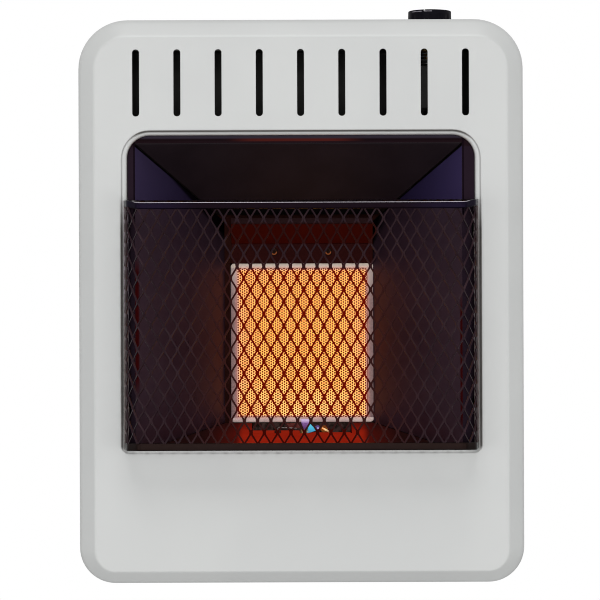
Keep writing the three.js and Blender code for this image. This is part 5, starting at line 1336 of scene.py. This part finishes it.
for which in ("left", "right"):
    low, high = box_of("burner_screw_" + which)
    middle = (low + high) / 2
    place_screw("deflector_screw_" + which, "burner_screw_" + which, (middle[0], -low[1] - 2.0, middle[2]),
                (0, -1, 0), scorched, 4.0, 2.0)
for side, which in ((-1, "left"), (1, "right")):
    for row in ("lower", "upper"):
        low, high = box_of(f"panel_screw_{which}_{row}")
        middle = (low + high) / 2
        seat = (low[0] if side < 0 else high[0]) - side * 2.0
        place_screw(f"ear_screw_{which}_{row}", f"panel_screw_{which}_{row}", (seat, -middle[1], middle[2]),
                    (side, 0, 0), zinc)

# %% [markdown]
# ## Pilot
# The pilot's hood is brass and the igniter's tube is glazed porcelain, whose wire comes out of its upper end.
# Both keep their CAD shape, so all that they need is a finish: the brass is grained, and the porcelain's
# colour changes with the height. The porcelain is white low down, a dark red higher up as painted red-lit
# shade, and greyer at its top end.

# %% Brass and porcelain
brass = grained("brass", (120, 3.0), (0.30, 0.19, 0.075), (0.46, 0.31, 0.13), (0.28, 0.2),
                metallic=0.95)
dress(brass, "pilot_burner", "gas_injector", "gas_inlet_fitting", "valve_plunger")

porcelain = Finish("porcelain", roughness=0.3, Coat_Weight=0.3)
ez = porcelain.axes()[2]
# White porcelain, with painted red-lit shade higher up and a greyer top end.
porcelain.paint(
    (0.72, 0.70, 0.66), (porcelain.noise(200, 3.0).step(0.4, 0.9), (0.42, 0.36, 0.32)),
    ((ez + 133.0).step(0.0, 1.0), (0.060, 0.016, 0.012)),
    ((ez + 128.6).step(0.0, 0.3), (0.135, 0.095, 0.085)))
dress(porcelain, "igniter_electrode")

# %% [markdown]
# The pilot throws a small blue flame to the right, on to the tip of the thermocouple, which glows. A
# flame has no skin, but a body that lets a constant share of the light through, nested in a second one,
# looks dense in the middle and soft at its edge from every side. So each part of the flame is a round
# section carried along a short path, twice, and its finish only emits: violet in the veil, pale blue in
# the core, orange round the hot tip.


# %% Flame
def burning(name, share, *stops):
    """A finish that only emits: its colour runs up the flame, and a skin hides a share of its back."""
    finish = Finish(name, roughness=1.0, colour=(0.0, 0.0, 0.0), Emission_Strength=1.0,
                    Specular_IOR_Level=0.0, Alpha=share)
    height = (finish.axes()[2] + 131.5) / 13.0
    finish.shine(finish.ramp(height, *stops))
    return finish


violet = burning("flame_veil", 0.30, (0.0, (0.085, 0.045, 0.120)), (0.4, (0.165, 0.060, 0.210)),
                 (0.7, (0.330, 0.160, 0.460)), (0.92, (0.660, 0.500, 0.820)))
cyan = burning("flame_core", 0.55, (0.0, (0.060, 0.260, 0.460)), (0.35, (0.080, 0.500, 0.720)),
               (0.7, (0.160, 0.620, 0.800)), (1.0, (0.160, 0.620, 0.800)))
haze = burning("flame_haze", 0.25, (0.0, (0.060, 0.030, 0.110)), (0.5, (0.150, 0.090, 0.340)),
               (1.0, (0.150, 0.090, 0.340)))
spark = burning("flame_tip", 0.6, (0.0, (0.60, 0.58, 0.92)), (1.0, (0.70, 0.66, 0.98)))
ember = burning("ember_halo", 0.28, (0.0, (0.300, 0.090, 0.020)), (0.35, (0.300, 0.075, 0.012)),
                (0.7, (0.160, 0.030, 0.006)), (1.0, (0.160, 0.030, 0.006)))

t = np.linspace(0, 1, 16)
bulge = np.sin(math.pi * t)
for part, start, way, radii, finish in (  # the path leaves start (x, depth, z) and goes by way
        ("veil", (3.4, 88.0, -130.8), (0.6, -2.0, 12.0), 0.35 + 5.2 * t ** 0.9, violet),
        ("core", (7.4, 90.5, -122.4), (2.7, 0, -8.3), 0.4 + 4.7 * t, cyan),
        ("haze", (13.6, 91.0, -125.6), (4.4, 0, -1.8), 0.1 + 2.3 * bulge ** 0.7, haze),
        ("tip", (15.3, 92.0, -127.2), (1.8, 0, 0.4), 0.1 + 0.85 * bulge, spark),
        ("ember", (18.6, 86.0, -127.4), (7.6, 0, -1.2), 0.1 + 3.6 * bulge ** 0.6, ember)):
    path = np.array(start) + t[:, None] * way
    skins = joined(*[carried(path, radii * share) for share in (1.0, 0.72)])
    piece("pilot_flame_" + part, *skins, finish, slot="ceramic", closed=False, angle=180)

# %% [markdown]
# The thermocouple is a thin sheathed rod whose tip stands in the flame and glows. It is a rod of
# changing radius carried along a bent path, and a hexagonal nut holds it to the bracket.

# %% Thermocouple
hot_rod = grained("thermocouple_sheath", (200, 3.0), (0.16, 0.09, 0.05), (0.26, 0.15, 0.09),
                  roughness=0.45, metallic=0.6, Emission_Strength=1.0)
rod_x, _, rod_z = hot_rod.axes()
glowing = (rod_x - 19.5).fall(2.0, 9.5) * (rod_z + 133.0).step(0.0, 1.0)
hot = hot_rod.blend(hot_rod.grain.step(0.4, 0.6), (1.0, 0.30, 0.06), (1.0, 0.78, 0.40))
hot_rod.shine((0.0, 0.0, 0.0), (glowing, hot))

ROD_X, ROD_DEPTH = 30.0, 89.5
stations = np.array([(20.2, -127.0, 0.3), (20.6, -127.2, 0.75), (24.5, -129.2, 0.95), (28.0, -131.0, 1.0),
                     (29.4, -132.6, 1.7), (ROD_X, -137.0, 2.4), (ROD_X, -150.0, 2.4), (ROD_X, -158.3, 2.4)])
rod_path = columns(stations[:, 0], ROD_DEPTH, stations[:, 1])
nut_profile = np.array([(2.0, -158.3), (4.6, -158.3), (4.95, -157.9),
                        (4.95, -152.9), (4.6, -152.4), (2.0, -152.4)])
nut_r, nut_z, turn = nut_profile[:, :1], nut_profile[:, 1:], circle(6)
nut = columns(ROD_X + nut_r * np.cos(turn), nut_r * np.sin(turn) - ROD_DEPTH, nut_z)
rod = joined(carried(rod_path, stations[:, 2]), (nut.reshape(-1, 3), capped(*nut.shape[:2])))
piece("thermocouple_rod", *rod, hot_rod, slot="copper", stands_for=["thermocouple"], closed=False, angle=35)

# %% [markdown]
# ## Gas train
# Nobody sees the valve, the pipes and the leads, but they are there when the panel comes off. The valve
# is die cast and a little rough, the pipes are drawn aluminium, the thermocouple's lead is a copper
# capillary and the igniter's a silicone sleeve. Each finish is one grain between two tones.

# %% Gas train finishes
cast = grained("cast_aluminium", (350, 4.0), (0.050, 0.050, 0.050), (0.085, 0.085, 0.083), (0.5, 0.2),
               metallic=0.5)
cast.bump(cast.grain, 0.3, 0.0002)
tube = grained("aluminium_tube", (60, 3.0, 0.5, (1, 1, 0.3)), (0.16, 0.16, 0.165), (0.26, 0.26, 0.265),
               (0.36, 0.15), metallic=0.9)
copper = grained("copper_capillary", (90, 3.0), (0.20, 0.085, 0.045), (0.32, 0.15, 0.085), (0.3, 0.2),
                 metallic=0.9)
sleeve = grained("silicone_sleeve", (250, 3.0), (0.010, 0.010, 0.010), (0.025, 0.024, 0.024),
                 roughness=0.7)
sleeve.bump(sleeve.grain, 0.2, 0.0002)
dress(cast, "gas_valve_body", "pressure_regulator")
dress(tube, "gas_supply_pipe", "burner_gas_pipe", "pilot_gas_pipe")
dress(zinc, "valve_stem", "valve_screw_left", "valve_screw_right")
dress(copper, "thermocouple_lead")
dress(sleeve, "igniter_lead")

# %% [markdown]
# The knob's return spring is pushed together when the knob is pressed. A coil is one wire carried along a
# helix, which climbs more slowly at its two ends, and it rides with the plunger.

# %% Return spring
spring_low, spring_high = box_of("return_spring")
spring_x, spring_y, _ = (spring_low + spring_high) / 2
spring_height = spring_high[2] - spring_low[2]
WIRE, TURNS, PUSH, GAP = 0.62, 5.0, 3.0, 0.05
around = np.linspace(0, TURNS * 2 * math.pi, 241)
coil_radius = (spring_high[0] - spring_low[0]) / 2 - WIRE - GAP
climb = np.clip((around / around[-1] - 0.06) / 0.88, 0, 1)
rise = 0.3 * smooth(climb) + 0.7 * climb
helix = columns(spring_x + coil_radius * np.cos(around), -spring_y + coil_radius * np.sin(around),
                spring_low[2] + WIRE + GAP + rise * (spring_height - 2 * (WIRE + GAP)))
coil = piece("return_spring_coil", *carried(helix, np.full(len(around), WIRE), 10), zinc, body="plunger",
             slot="steel", stands_for=["return_spring"], angle=60)
KNOB_X / 1000
-KNOB_DEPTH / 1000
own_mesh(coil)
print("return spring turns", TURNS, "height", round(float(spring_height), 2))

# %% [markdown]
# ## Ears of the panel
# The panel is held by four ears that are bent back along the cabinet's sides, each with a hole for a
# screw. An ear is a rounded rectangle with a round hole, both as loops of points, joined by triangles
# and given a thickness.

# %% Ears
EAR_LEVEL, EAR_HALF, EAR_CORNER, EAR_HOLE = 190.0, 9.0, 3.0, 2.1


def ear(side, level):
    """One ear: outer loop of 14.6 x 18 mm with rounded rear corners, inner loop of radius 2.1, both in
    the plane x = side * (cabinet half width + 0.3 + sheet)."""
    x = side * (CABINET_HALF + 0.3 + STEEL)
    turn = np.linspace(0, math.pi / 2, 6)
    corner = lambda z, start: columns(PAN_REAR - 11 + EAR_CORNER * np.cos(start + turn),
                                      z + EAR_CORNER * np.sin(start + turn))
    loop = np.concatenate([[(PAN_REAR + 0.6, level - EAR_HALF), (PAN_REAR + 0.6, level + EAR_HALF)],
                           corner(level + 6, math.pi / 2), corner(level - 6, math.pi)])
    around = circle(24)
    hole = columns(PAN_REAR - 7 + EAR_HOLE * np.cos(around), level + EAR_HOLE * np.sin(around))
    flat = np.concatenate([loop, hole])
    n, k = len(loop), len(hole)
    points = np.concatenate([columns(x - side * t, -flat[:, 0], flat[:, 1]) for t in (0.0, STEEL)])
    faces = []
    for a, b, c in filled(loop, hole):
        faces += [[a, b, c], [c + n + k, b + n + k, a + n + k]]
    faces += [[i, (i + 1) % n, (i + 1) % n + n + k, i + n + k][::-1] for i in range(n)]
    faces += [[n + i, n + (i + 1) % k, 2 * n + k + (i + 1) % k, 2 * n + k + i] for i in range(k)]
    return points, faces


ears = [ear(side, level) for side in (-1, 1) for level in (-EAR_LEVEL, EAR_LEVEL)]
piece("front_panel_ears", *joined(*ears), panel_paint, slot="panel_paint", stands_for=["front_panel"],
      closed=False, angle=40)

# %% [markdown]
# ## Sizes
# The box of the CAD frame and the box of the dressed model, in metres, are worked out here.

# %% The sizes of the frame and the dressed model
low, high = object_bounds()
{"cad": [list(cad_low), list(cad_high)], "visual": [list(low), list(high)]}
